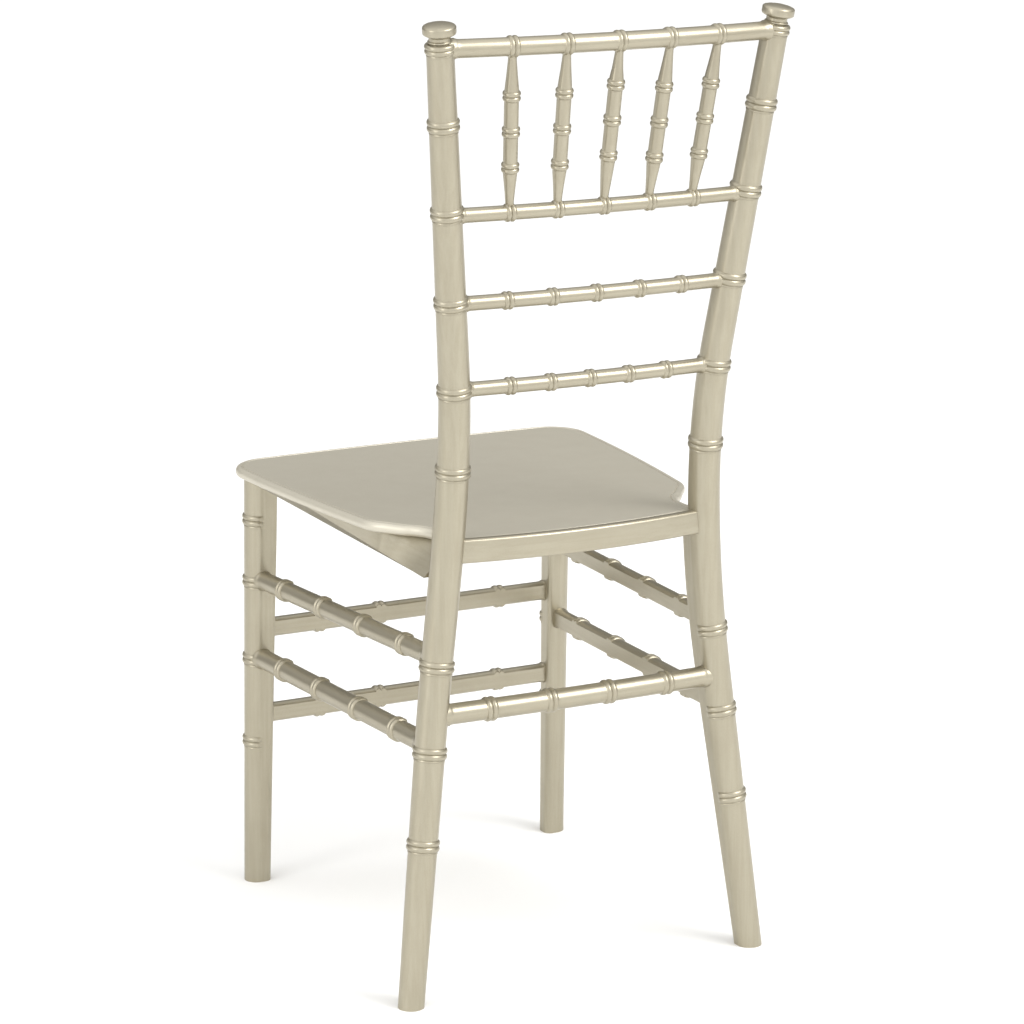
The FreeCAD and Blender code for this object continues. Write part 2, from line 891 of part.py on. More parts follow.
right_run = side_edges(0.0)
left_run = flipped(right_run)
front_start = left_run[-1].EndPoint
front_end = right_run[0].StartPoint
waist_end = right_run[-1].EndPoint
apron_y = seat_post.y - size("rear_apron_setback")
apron_sweep = (seat_post.x**2 + size("seat_rear_bow") ** 2) / (2 * size("seat_rear_bow"))


def rear_edge(x):
    """The panel's rear edge, a fit gap in front of the bowed apron."""
    centre = apron_y + size("seat_rear_bow") - apron_sweep
    return Vector(x, centre + math.sqrt((apron_sweep - size("fit_gap")) ** 2 - x**2), 0)


rear_corner = rear_edge(waist_end.x)
rear_middle = rear_edge(0)
seat_outline = [
    Part.Arc(front_start, Vector(0, size("seat_front_y"), 0), front_end),
    *right_run,
    Part.LineSegment(waist_end, rear_corner),
    Part.Arc(rear_corner, rear_middle, mirrored(rear_corner)),
    Part.LineSegment(mirrored(rear_corner), mirrored(waist_end)),
    *left_run,
]
panel = new_body("seat_board")
panel_level = Placement(Vector(0, 0, seat_under), Rotation())
panel_sketch = outline(new_sketch(panel, "seat_outline", panel_level), seat_outline)
board = feature(panel, "Pad", "seat_pad", Profile=panel_sketch)
bind(board, "Length", cell("seat_thickness"))
doc.recompute()


def nosing_edges(shape):
    """Names of the panel's top and bottom edges in front of the posts."""
    names = []
    for i, edge in enumerate(shape.Edges, start=1):
        box_of = edge.BoundBox
        if box_of.ZLength < 0.01 and box_of.Center.y < size("seat_waist_y"):
            names.append(f"Edge{i}")
    return names


nosing = feature(panel, "Fillet", "seat_nosing", Base=(board, nosing_edges(board.Shape)))
bind(nosing, "Radius", cell("seat_edge_round"))
doc.recompute()

leg_top = leg_point(seat_under)
tenon_height = size("leg_tenon_length")


def leg_tenon(name, point, radius, growth=0.0):
    return rod(name, point - Vector(0, 0, 2), point + Vector(0, 0, tenon_height), radius, growth)


tenon_hole = f"{cell('leg_tenon_radius')} + {cell('fit_gap')}"
seat_cuts = [
    rear_envelope,
    doc.getObject("rear_post_envelope_right"),
    leg_tenon("leg_hole_left", leg_top, tenon_hole, size("fit_gap")),
    leg_tenon("leg_hole_right", mirrored(leg_top), tenon_hole, size("fit_gap")),
]


# Rear apron: bowed board between the posts, its top edge rounded
def bowed_board(label, half_span, y_ends, bow, thickness, low, high):
    body = new_body(label)
    inner_mid = Vector(0, y_ends + bow, 0)
    outer_mid = Vector(0, y_ends + bow + thickness, 0)
    inner_left = Vector(half_span, y_ends, 0)
    outer_left = Vector(half_span, y_ends + thickness, 0)
    edges = [
        Part.Arc(inner_left, inner_mid, mirrored(inner_left)),
        Part.LineSegment(mirrored(inner_left), mirrored(outer_left)),
        Part.Arc(mirrored(outer_left), outer_mid, outer_left),
        Part.LineSegment(outer_left, inner_left),
    ]
    sketch = outline(new_sketch(body, label + "_outline", Placement(Vector(0, 0, low), Rotation())), edges)
    pad = feature(body, "Pad", label + "_pad", Profile=sketch, Length=high - low)
    doc.recompute()
    names = []
    for i, edge in enumerate(pad.Shape.Edges, start=1):
        if edge.BoundBox.ZLength < 0.01 and edge.BoundBox.ZMin > high - 0.01 and edge.Length > half_span:
            names.append(f"Edge{i}")
    rounded = feature(body, "Fillet", label + "_round", Base=(pad, names))
    bind(rounded, "Radius", cell("rear_apron_round"))
    return body


rear_apron_top = seat_top + size("rear_apron_rise")
apron_board = bowed_board(
    "rear_apron_board",
    seat_post.x,
    apron_y,
    size("seat_rear_bow"),
    size("rear_apron_thickness"),
    rear_apron_top - size("rear_apron_height"),
    rear_apron_top,
)
apron_coped = cut("rear_apron_coped", apron_board, rear_envelopes)
tenon_z = rear_apron_top - size("rear_apron_height") / 2


def apron_tenon(name, inside_x, tip_x, y, z, growth=0.0):
    half_width = size("apron_tenon_width") / 2 + growth
    half_height = size("apron_tenon_height") / 2 + growth
    low_x, high_x = sorted((inside_x, tip_x))
    low = Vector(low_x, y - half_width, z - half_height)
    return box(name, low, Vector(high_x, y + half_width, z + half_height))


rear_root = seat_post.x - size("post_seat_radius") - 2.0
rear_tenon_y = rear_edge(rear_root).y + (size("fit_gap") + size("rear_apron_thickness")) / 2 + 1.0
rear_tip = seat_post.x - size("tenon_tip")
finish(
    fuse(
        "rear_apron",
        [
            apron_coped,
            apron_tenon("rear_apron_tenon_left", rear_root, rear_tip, rear_tenon_y, tenon_z),
            apron_tenon("rear_apron_tenon_right", -rear_root, -rear_tip, rear_tenon_y, tenon_z),
        ],
    )
)
gap = size("fit_gap")
post_sockets.append(apron_tenon("rear_apron_socket", rear_root, rear_tip + gap, rear_tenon_y, tenon_z, gap))

# Front apron: straight board between the front legs, close under the panel
front_y = leg_point(seat_under).y
front_half = size("front_apron_thickness") / 2
front_board = box(
    "front_apron_board",
    Vector(-leg_top.x, front_y - front_half, seat_under - size("front_apron_height")),
    Vector(leg_top.x, front_y + front_half, seat_under),
)
front_coped = cut("front_apron_coped", front_board, leg_envelopes)
front_tenon_z = seat_under - size("front_apron_height") / 2
front_root = leg_top.x - size("front_leg_top_radius") - 2.0
front_tip = leg_top.x - size("tenon_tip")
finish(
    fuse(
        "front_apron",
        [
            front_coped,
            apron_tenon("front_apron_tenon_left", front_root, front_tip, front_y, front_tenon_z),
            apron_tenon("front_apron_tenon_right", -front_root, -front_tip, front_y, front_tenon_z),
        ],
    )
)
front_hole_tip = front_tip + gap
leg_sockets.append(
    apron_tenon("front_apron_socket", front_root, front_hole_tip, front_y, front_tenon_z, gap)
)

# Side aprons: walls that follow the waist under the nosing and deepen towards the posts
inset = size("side_apron_inset")
thickness = size("side_apron_thickness")
outer_run = side_edges(inset)[1:]
inner_run = side_edges(inset + thickness)[1:]
tail_y = seat_post.y - size("post_seat_radius") + 1
outer_tail = Vector(outer_run[-1].EndPoint.x, tail_y, 0)
inner_tail = Vector(inner_run[-1].EndPoint.x, tail_y, 0)
wall_edges = [
    *outer_run,
    Part.LineSegment(outer_run[-1].EndPoint, outer_tail),
    Part.LineSegment(outer_tail, inner_tail),
    Part.LineSegment(inner_tail, inner_run[-1].EndPoint),
]
for edge in reversed(inner_run):
    if isinstance(edge, Part.LineSegment):
        wall_edges.append(Part.LineSegment(edge.EndPoint, edge.StartPoint))
    else:
        middle = edge.value((edge.FirstParameter + edge.LastParameter) / 2)
        wall_edges.append(Part.Arc(edge.EndPoint, middle, edge.StartPoint))
wall_edges.append(Part.LineSegment(inner_run[0].StartPoint, outer_run[0].StartPoint))
wall = new_body("side_apron_wall")
wall_sketch = new_sketch(wall, "side_apron_outline", Placement(Vector(0, 0, seat_under), Rotation()))
outline(wall_sketch, wall_edges)
wall_pad = feature(wall, "Pad", "side_apron_pad", Profile=wall_sketch, Reversed=True)
bind(wall_pad, "Length", cell("side_apron_height"))
deep_y = seat_post.y - size("post_seat_radius")
shallow_y = deep_y - size("side_apron_length")
wall_low = seat_under - size("side_apron_height")
slope = new_body("side_apron_slope")
slope_sketch = new_sketch(slope, "side_apron_slope_outline", role="YZ_Plane")
slope_corners = [
    Vector(shallow_y, seat_under + 1, 0),
    Vector(shallow_y, seat_under - size("side_apron_thin_edge"), 0),
    Vector(deep_y, wall_low, 0),
    Vector(deep_y + 60, wall_low, 0),
    Vector(deep_y + 60, seat_under + 1, 0),
]
slope_count = len(slope_corners)
slope_edges = [
    Part.LineSegment(slope_corners[i], slope_corners[(i + 1) % slope_count]) for i in range(slope_count)
]
outline(slope_sketch, slope_edges)
feature(slope, "Pad", "side_apron_slope_pad", Profile=slope_sketch, Length=300)
wall_shaped = common("side_apron_shaped", wall, slope)
side_left = finish(cut("side_apron_left", wall_shaped, rear_envelope))
finish(mirror("side_apron_right", side_left))

# Corner blocks under the seat, with their screws up into the panel and bolts into the uprights
block_size = size("corner_block_size")
block_low = seat_under - size("corner_block_height")


def corner_block(label, corner, towards_y, copes):
    """Three-cornered block: square corner at the upright, long side towards the seat's middle."""
    body = new_body(label + "_blank")
    a = Vector(corner.x, corner.y, 0)
    b = Vector(corner.x - block_size, corner.y, 0)
    c = Vector(corner.x, corner.y + towards_y * block_size, 0)
    edges = [Part.LineSegment(a, b), Part.LineSegment(b, c), Part.LineSegment(c, a)]
    sketch = outline(new_sketch(body, label + "_outline", panel_level), edges)
    pad = feature(body, "Pad", label + "_pad", Profile=sketch, Reversed=True)
    bind(pad, "Length", cell("corner_block_height"))
    return cut(label + "_coped", body, copes)


def headed_screw(name, head, direction, radius, length):
    """Cheese-headed screw with a hexagon socket; its head's seat is at the given point."""
    body = new_body(name)
    body.Placement = Placement(head, Rotation(Vector(0, 0, 1), direction))
    sketch = new_sketch(body, name + "_section", role="XZ_Plane")
    polygon(
        sketch,
        [
            ("0", f"-{cell('screw_head_height')}"),
            (cell("screw_head_radius"), f"-{cell('screw_head_height')}"),
            (cell("screw_head_radius"), "0"),
            (cell(radius), "0"),
            (cell(radius), f"{cell(length)} - 1"),
            (f"{cell(radius)} - 1", cell(length)),
            ("0", cell(length)),
        ],
    )
    turned(body, name + "_shank", sketch)
    depth = Placement(Vector(0, 0, -size("screw_head_height")), Rotation())
    socket = new_sketch(body, name + "_socket_section", depth)
    across_flats = size("screw_head_radius") * 0.5
    turns = [math.radians(60 * i) for i in range(6)]
    corners = [Vector(across_flats * math.cos(t), across_flats * math.sin(t), 0) for t in turns]
    outline(socket, [Part.LineSegment(corners[i], corners[(i + 1) % 6]) for i in range(6)])
    pocket = feature(body, "Pocket", name + "_socket", Profile=socket, Reversed=True)
    bind(pocket, "Length", f"{cell('screw_head_height')} * 0.6")
    return body


screws = []
bolts = []
up = Vector(0, 0, 1)
screw_gap = f"{cell('seat_screw_radius')} + {cell('fit_gap')}"
bolt_gap = f"{cell('leg_bolt_radius')} + {cell('fit_gap')}"
apron_reach = front_y + front_half + gap
rear_reach = apron_y - gap
rear_block_x = size("seat_waist_half_width") - inset - thickness - gap
for end, corner, towards, copes in (
    ("front", Vector(leg_top.x - 2, apron_reach, 0), 1, leg_envelopes),
    ("rear", Vector(rear_block_x, rear_reach, 0), -1, rear_envelopes),
):
    coped = corner_block(f"corner_block_{end}", corner, towards, copes)
    setback = size("screw_setback")
    screw_head = Vector(corner.x - setback, corner.y + towards * setback / 2, block_low)
    screw_name = f"seat_screw_{end}_left"
    screws.append(headed_screw(screw_name, screw_head, up, "seat_screw_radius", "seat_screw_length"))
    screw_end = screw_head + up * (size("seat_screw_length") + gap)
    bores = [rod(f"seat_screw_{end}_bore", screw_head - up, screw_end, screw_gap)]
    seat_cuts += [bores[0], mirror(f"seat_screw_{end}_bore_right", bores[0])]
    if end == "front":
        bolt_line = Vector(1, -towards, 0).normalize()
        bolt_z = block_low + size("corner_block_height") / 2
        half_block = block_size / 2
        long_side = Vector(corner.x - half_block, corner.y + towards * half_block, bolt_z)
        bolts.append(
            headed_screw("leg_bolt_left", long_side, bolt_line, "leg_bolt_radius", "leg_bolt_length")
        )
        bolt_end = long_side + bolt_line * (size("leg_bolt_length") + gap)
        bores.append(rod("leg_bolt_bore", long_side - bolt_line, bolt_end, bolt_gap))
        leg_sockets.append(bores[1])
    block = finish(cut(f"corner_block_{end}_left", coped, compound(f"corner_block_{end}_bores", bores)))
    finish(mirror(f"corner_block_{end}_right", block))

screws_left = compound("seat_screws_left", screws)
finish(compound("seat_screws", [screws_left, mirror("seat_screws_right", screws_left)]))
finish(compound("leg_bolts", [bolts[0], mirror("leg_bolt_right", bolts[0])]))
finish(cut("seat_panel", panel, compound("seat_cuts", seat_cuts)))

# Finials: turned caps with a spigot that drops into the post's top
finial = new_body("finial_left")
finial_seat = post_point(size("post_top_height"))
finial_axis = post_axis(size("post_top_height"))
finial.Placement = across(finial_seat, finial_axis)
finial_sketch = new_sketch(finial, "finial_section", role="XZ_Plane")
cap_low = f"{cell('finial_neck_height')} + {cell('finial_bevel')}"
cap_high = f"{cap_low} + {cell('finial_cap_side')}"
polygon(
    finial_sketch,
    [
        ("0", f"-{cell('finial_spigot_length')}"),
        (cell("finial_spigot_radius"), f"-{cell('finial_spigot_length')}"),
        (cell("finial_spigot_radius"), cell("fit_gap")),
        (cell("finial_collar_radius"), cell("fit_gap")),
        (cell("finial_collar_radius"), f"{cell('finial_neck_height')} / 2"),
        (cell("finial_neck_radius"), f"{cell('finial_neck_height')} / 2 + 0.8"),
        (cell("finial_neck_radius"), cell("finial_neck_height")),
        (cell("finial_cap_radius"), cap_low),
        (cell("finial_cap_radius"), cap_high),
        (f"{cell('finial_cap_radius')} * 0.6", f"{cap_high} + {cell('finial_dome')} * 0.8"),
        ("0", f"{cap_high} + {cell('finial_dome')}"),
    ],
)
cap = turned(finial, "finial_turning", finial_sketch)
doc.recompute()
rim = []
for i, edge in enumerate(cap.Shape.Edges, start=1):
    if isinstance(edge.Curve, Part.Circle) and abs(edge.Curve.Radius - size("finial_cap_radius")) < 0.01:
        rim.append(f"Edge{i}")
rounding = feature(finial, "Fillet", "finial_rim", Base=(cap, rim))
bind(rounding, "Radius", cell("finial_cap_edge"))
finish(finial)
finish(mirror("finial_right", finial))
spigot_deep = finial_seat - finial_axis * size("finial_spigot_length")
spigot_hole = f"{cell('finial_spigot_radius')} + {cell('fit_gap')}"
above = finial_seat + finial_axis * OVER_POST
post_sockets.append(rod("over_post", finial_seat, above, f"2 * {cell('post_top_radius')}"))
post_sockets.append(rod("finial_hole", finial_seat + finial_axis * 2, spigot_deep, spigot_hole, gap))


# Foot glides: nail-on discs let into the feet, flush with the floor
def glide(name, point):
    disc = doc.addObject("Part::Cylinder", name + "_disc")
    bind(disc, "Radius", cell("glide_radius"))
    bind(disc, "Height", cell("glide_thickness"))
    disc.Placement = Placement(point, Rotation())
    stem = doc.addObject("Part::Cylinder", name + "_stem")
    bind(stem, "Radius", cell("glide_stem_radius"))
    bind(stem, "Height", cell("glide_stem_length"))
    stem.Placement = Placement(point, Rotation())
    return fuse(name, [disc, stem])


def glide_recess(name, point):
    below = point - Vector(0, 0, 1)
    recesses = []
    for kind, radius, depth in (
        ("disc", "glide_radius", "glide_thickness"),
        ("stem", "glide_stem_radius", "glide_stem_length"),
    ):
        top = point + Vector(0, 0, size(depth) + gap)
        hole = f"{cell(radius)} + {cell('fit_gap')}"
        recesses.append(rod(f"{name}_{kind}_recess", below, top, hole))
    return recesses


rear_foot = lower_line(0)
front_foot = leg_point(0)
glides = [glide("glide_rear", rear_foot), glide("glide_front", front_foot)]
glides_left = compound("foot_glides_left", glides)
finish(compound("foot_glides", [glides_left, mirror("foot_glides_right", glides_left)]))
post_sockets += glide_recess("glide_rear", rear_foot)
leg_sockets += glide_recess("glide_front", front_foot)

# Rear posts and front legs: blanks cut at the floor and bored for everything that enters them
ground = box("ground", Vector(-600, -600, -50), Vector(600, 600, 0))
over_leg = box("over_leg", Vector(-600, -600, seat_under - gap), Vector(600, 600, seat_top + 100))
post_blank = rear_post_blank("rear_post_blank", False)
post_left = finish(cut("rear_post_left", post_blank, fuse("post_cuts", [ground, *post_sockets])))
finish(mirror("rear_post_right", post_left))
leg_blank = front_leg_blank("front_leg_blank", False)
leg_turned = cut("front_leg_turned", leg_blank, fuse("leg_cuts", [ground, over_leg, *leg_sockets]))
leg_top_tenon = leg_tenon("leg_tenon_left", leg_top, cell("leg_tenon_radius"))
leg_left = finish(fuse("front_leg_left", [leg_turned, leg_top_tenon]))
finish(mirror("front_leg_right", leg_left))
doc.recompute()

# Nothing is written unless every object is sound
for thing in doc.Objects:
    if "Invalid" in thing.State or "Error" in thing.State:
        raise RuntimeError(f"{thing.Label} failed: {thing.getStatusString()}")
for part in finished:
    if part.Shape.isNull() or not part.Shape.isValid():
        raise RuntimeError(f"{part.Label} has no valid shape")
for part in finished:
    part.Shape.exportStep(f"parts/{part.Label}.step")
    print(part.Label, len(part.Shape.Solids), round(part.Shape.Volume))
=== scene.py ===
import math
from collections import namedtuple

import bpy
from bpy.props import FloatProperty, FloatVectorProperty, IntProperty, PointerProperty
from mathutils import Matrix, Vector


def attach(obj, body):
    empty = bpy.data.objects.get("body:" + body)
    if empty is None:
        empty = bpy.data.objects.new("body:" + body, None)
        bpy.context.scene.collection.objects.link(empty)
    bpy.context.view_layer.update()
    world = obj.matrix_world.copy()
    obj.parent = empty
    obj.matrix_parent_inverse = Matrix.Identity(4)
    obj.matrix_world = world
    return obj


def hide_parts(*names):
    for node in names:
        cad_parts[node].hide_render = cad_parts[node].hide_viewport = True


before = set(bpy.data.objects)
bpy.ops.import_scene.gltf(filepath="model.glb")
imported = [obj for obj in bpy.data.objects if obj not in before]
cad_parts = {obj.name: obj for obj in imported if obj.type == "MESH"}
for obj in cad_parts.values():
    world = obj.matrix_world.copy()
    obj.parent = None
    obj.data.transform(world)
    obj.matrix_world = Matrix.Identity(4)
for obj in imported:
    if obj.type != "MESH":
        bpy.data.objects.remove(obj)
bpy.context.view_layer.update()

bl_info = {
    "name": "Chiavari Chair",
    "version": (1, 0, 0),
    "blender": (4, 5, 0),
    "location": "3D View > Sidebar > Chair",
    "description": "Builds a turned chiavari chair with its finishes, floor, lights and camera",
    "category": "Object",
}

BODY = "root"
MM = 0.001
SEAM = 2e-6  # points closer than this are one, metres


# Sizes and colours that a user would change
class ChairFrameSizes(bpy.types.PropertyGroup):
    bead_height: FloatProperty(
        name="Bead height", description="How far a turned bead stands out",
        default=1.9 * MM, unit="LENGTH"
    )
    bead_pitch: FloatProperty(
        name="Bead pitch", description="Distance between the two beads of a pair",
        default=5.3 * MM, unit="LENGTH"
    )
    turning_steps: IntProperty(
        name="Turning steps", description="Facets around a turned piece", default=64, min=32, max=96
    )
    corner_fade: FloatProperty(
        name="Bead fade", description="Angle over which beads die out at a square corner",
        default=math.radians(20), subtype="ANGLE"
    )


class ChairFinishColours(bpy.types.PropertyGroup):
    paint: FloatVectorProperty(
        name="Paint", description="Champagne metallic paint of the frame",
        default=(0.43, 0.395, 0.305), size=3, subtype="COLOR", min=0, max=1
    )
    paint_deep: FloatVectorProperty(
        name="Paint in the streaks", description="Darker flow lines of the paint",
        default=(0.24, 0.2, 0.13), size=3, subtype="COLOR", min=0, max=1
    )
    # The seat colour is the frame's paint painted lighter: painted light on the seat's lit top.
    seat: FloatVectorProperty(
        name="Seat", description="Paint of the seat panel",
        default=(0.62, 0.585, 0.49), size=3, subtype="COLOR", min=0, max=1
    )
    floor: FloatVectorProperty(
        name="Floor", description="Studio floor",
        default=(0.95, 0.95, 0.945), size=3, subtype="COLOR", min=0, max=1
    )


def sizes():
    return bpy.context.scene.chair_frame_sizes


def colours():
    return bpy.context.scene.chair_finish_colours


# Lines of the frame, millimetres: floor at z 0, front towards -Y, the sitter's left towards +X
BEND_TOP = (600.0, 135.4, 170.3)
BEND_FOOT = (256.8, 150.34, 151.9)
BACK_LEAN = (0.1092, 0.1396)
LEG_LEAN = (-0.1166, -0.0627)
POST_TOP, FINIAL_SEAT = 890.4, 889.4
POST_RADII = ((0.0, 12.25), (256.8, 14.5), (428.4, 15.0), (600.0, 14.25), (POST_TOP, 12.1))
POST_RINGS = (817.5, 738.7, 656.9, 575.0, 499.5, 317.3, 237.2, 151.8)
LEG_RINGS = (378.7, 315.9, 235.5, 149.4)
SEAT_TOP, SEAT_UNDER = 434.0, 424.0
FLAT_SHARE = 0.7  # how far out the flat face of a stretcher lies, in radii
RAIL_BEADS = 0.84  # size of the beads on rails and spindles, against those on the posts


def on_line(anchor, lean, z):
    rise = z - anchor[0]
    return Vector((anchor[1] + lean[0] * rise, anchor[2] + lean[1] * rise, z))


def post_point(z):
    top, foot = BEND_TOP[0], BEND_FOOT[0]
    if z >= top:
        return on_line(BEND_TOP, BACK_LEAN, z)
    if z <= foot:
        return on_line(BEND_FOOT, LEG_LEAN, z)
    third = (top - foot) / 3
    poles = [
        on_line(BEND_TOP, BACK_LEAN, top),
        on_line(BEND_TOP, BACK_LEAN, top - third),
        on_line(BEND_FOOT, LEG_LEAN, foot + third),
        on_line(BEND_FOOT, LEG_LEAN, foot),
    ]
    t = (top - z) / (top - foot)
    weights = ((1 - t) ** 3, 3 * t * (1 - t) ** 2, 3 * t * t * (1 - t), t ** 3)
    return sum((p * w for p, w in zip(poles, weights)), Vector())


def leg_point(z):
    return Vector((168.7 - 0.0084 * z, -219.1 + 0.0338 * z, z))


def axis_at(line, z):
    return (line(z + 1) - line(z - 1)).normalized()


def post_radius(z):
    for (z0, r0), (z1, r1) in zip(POST_RADII, POST_RADII[1:]):
        if z <= z1:
            return r0 + (r1 - r0) * (z - z0) / (z1 - z0)
    return POST_RADII[-1][1]


def leg_radius(z):
    return 12.4 + (14.3 - 12.4) * z / SEAT_UNDER


def mix(a, b, t):
    return a + (b - a) * t


# Modelling by operators
def nothing_selected():
    if bpy.context.mode != "OBJECT":
        bpy.ops.object.mode_set(mode="OBJECT")
    bpy.ops.object.select_all(action="DESELECT")


def pick(piece):
    nothing_selected()
    piece.select_set(True)
    bpy.context.view_layer.objects.active = piece
    return piece


def edit_all(piece):
    """Opens a piece in edit mode with everything selected."""
    pick(piece)
    bpy.ops.object.mode_set(mode="EDIT")
    bpy.ops.mesh.select_all(action="SELECT")


def faced_outwards(piece):
    """Turns every face outwards and leaves edit mode."""
    bpy.ops.mesh.select_all(action="SELECT")
    bpy.ops.mesh.normals_make_consistent(inside=False)
    bpy.ops.object.mode_set(mode="OBJECT")
    return piece


def start_point(name, at):
    """A mesh of one vertex: a plane merged to its centre and moved to its place."""
    nothing_selected()
    bpy.ops.mesh.primitive_plane_add(size=MM, location=(0, 0, 0))
    piece = bpy.context.object
    piece.name = name
    piece.data.name = name
    bpy.ops.object.mode_set(mode="EDIT")
    bpy.ops.mesh.select_all(action="SELECT")
    bpy.ops.mesh.merge(type="CENTER")
    bpy.ops.transform.translate(value=Vector(at) * MM)
    return piece


def select_faces(piece, wanted):
    """Selects the faces of the piece in edit mode that a test picks out."""
    bpy.ops.mesh.select_mode(type="FACE")
    bpy.ops.mesh.select_all(action="DESELECT")
    bpy.ops.object.mode_set(mode="OBJECT")
    for face in piece.data.polygons:
        face.select = wanted(face)
    bpy.ops.object.mode_set(mode="EDIT")


def draw(points):
    """Extrudes the selected vertex along points, in millimetres, from where it stands."""
    for a, b in zip(points, points[1:]):
        step = (Vector(b) - Vector(a)) * MM
        bpy.ops.mesh.extrude_vertices_move(TRANSFORM_OT_translate={"value": step})


def closed(piece):
    """Merges seams and poles and turns every face outwards."""
    bpy.ops.mesh.select_all(action="SELECT")
    bpy.ops.mesh.remove_doubles(threshold=SEAM)
    return faced_outwards(piece)


def turned(name, profile, along="Z"):
    """A turned piece from its (radius, height) profile, spun about Z or X."""
    if along == "Z":
        points = [(r, 0, h) for r, h in profile]
        axis = (0, 0, 1)
    else:
        points = [(h, 0, r) for r, h in profile]
        axis = (1, 0, 0)
    piece = start_point(name, points[0])
    draw(points)
    bpy.ops.mesh.select_all(action="SELECT")
    bpy.ops.mesh.spin(steps=sizes().turning_steps, angle=math.tau, center=(0, 0, 0), axis=axis)
    return closed(piece)


def prism(name, outline, low, high):
    """A board standing on its outline of (x, y) points between two heights."""
    points = [(x, y, low) for x, y in outline]
    piece = start_point(name, points[0])
    draw(points)
    bpy.ops.mesh.select_all(action="SELECT")
    bpy.ops.mesh.edge_face_add()
    bpy.ops.mesh.extrude_region_move(TRANSFORM_OT_translate={"value": (0, 0, (high - low) * MM)})
    return closed(piece)


def sliced(piece, at, normal):
    """Cuts off what lies beyond a plane and closes the cut."""
    edit_all(piece)
    bpy.ops.mesh.bisect(
        plane_co=Vector(at) * MM, plane_no=normal, use_fill=True, clear_outer=True, threshold=1e-7
    )
    return faced_outwards(piece)


def reshaped(piece, place):
    """Moves every vertex by a rule given in millimetres."""
    for vertex in piece.data.vertices:
        vertex.co = place(vertex.co / MM) * MM
    piece.data.update()
    return piece


def softened(piece, angle=32):
    """Shades a piece smooth, apart from edges sharper than an angle in degrees."""
    pick(piece)
    bpy.ops.object.shade_smooth_by_angle(angle=math.radians(angle))
    return piece


def twin(piece, name):
    """The same piece on the other side of the chair, with its own mesh."""
    pick(piece)
    bpy.ops.object.duplicate(linked=False)
    other = bpy.context.object
    other.name = name
    other.data.name = name
    for vertex in other.data.vertices:
        vertex.co.x = -vertex.co.x
    edit_all(other)
    return faced_outwards(other)


def fitted(piece, finish):
    """Gives a piece named NODE_how its material and the place of that node in the chair."""
    node = piece.name.rsplit("_", 1)[0]
    piece.data.materials.clear()
    piece.data.materials.append(finish)
    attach(piece, BODY)
    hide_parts(node)


def fitted_pair(piece, finish):
    """Fits a left piece and its twin on the right."""
    fitted(twin(piece, piece.name.replace("left", "right")), finish)
    fitted(piece, finish)


# Turned profiles, millimetres
BEAD_STEPS = 7


def bead(radius, centre, crown, spread, start, stop, steps):
    """Points round one bead with a crown and a foot spread, between two angles from its crest."""
    curve = (crown ** 2 + spread ** 2) / (2 * crown)
    points = []
    for i in range(steps + 1):
        turn = mix(start, stop, i / steps)
        points.append((radius + crown - curve * (1 - math.cos(turn)), centre + curve * math.sin(turn)))
    return points


def double_bead(radius_at, centre, share=1.0, cove=True):
    """A pair of round beads with a groove between them and a fine cove under the lower one."""
    crown = sizes().bead_height / MM * share
    half = sizes().bead_pitch / MM / 2 * share
    radius = radius_at(centre)
    foot = half * 1.1
    curve = (crown ** 2 + foot ** 2) / (2 * crown)
    valley = math.asin(half / curve)
    rim = math.asin(foot / curve)
    points = []
    if cove:
        under = centre - half - foot
        points += [
            (radius_at(under - 1.9 * share), under - 1.9 * share),
            (radius + 0.35 * share, under - 1.6 * share),
            (radius + 0.35 * share, under - 0.7 * share),
        ]
    points += bead(radius, centre - half, crown, foot, -rim, valley, BEAD_STEPS)
    points += bead(radius, centre + half, crown, foot, -valley, rim, BEAD_STEPS)[1:]
    return points


def turned_profile(radius_at, low, high, rings, spacing=16.0, share=1.0, cove=True):
    """Profile from low to high with a double bead at each ring and plain stations between."""
    blocks = [double_bead(radius_at, ring, share, cove) for ring in sorted(rings)]
    points = [(0, low), (radius_at(low), low)]
    height = low
    for block in blocks + [[(radius_at(high), high)]]:
        gap = block[0][1] - height
        count = max(int(gap // spacing), 0)
        for i in range(1, count + 1):
            station = height + gap * i / (count + 1)
            points.append((radius_at(station), station))
        points += block
        height = block[-1][1]
    points.append((0, high))
    return points


# Square corners on the legs: the turned section swells to a rounded square in one quadrant
CORNER_SHARES = ((0.0, 0.6), (235.0, 0.26), (355.0, 0.06), (SEAT_UNDER, 0.05))


def corner_share(z):
    """How much of the half width the rounding of the square corner takes at a height."""
    for (z0, s0), (z1, s1) in zip(CORNER_SHARES, CORNER_SHARES[1:]):
        if z <= z1:
            return mix(s0, s1, max(z - z0, 0) / (z1 - z0))
    return CORNER_SHARES[-1][1]


def square_reach(u, v, share):
    """Distance to a unit square's edge along a unit direction, with its corner rounded."""
    reach = 1 / max(u, v)
    inner = 1 - share
    if min(u, v) * reach > inner:
        across = inner * (u + v)
        reach = across + math.sqrt(max(across ** 2 - 2 * inner ** 2 + share ** 2, 0))
    return reach


def cornered(point, radius, away_y):
    """A turned section's point moved out to the square corner on the inner side."""
    reach = math.hypot(point.x, point.y)
    if reach < 0.5:
        return point.x, point.y
    u, v = -point.x / reach, away_y * point.y / reach
    fade = sizes().corner_fade
    inside = min(math.atan2(v, u), math.atan2(u, v))
    standing = reach - radius
    if inside > -fade and standing > 0:
        standing *= max(-inside / fade, 0) if inside < 0 else 0
    base = radius
    if u > 0 and v > 0:
        base = radius * square_reach(u, v, corner_share(point.z))
    if reach < radius - 0.5:
        base, standing = base * reach / radius, 0
    scale = (base + standing) / reach
    return point.x * scale, point.y * scale


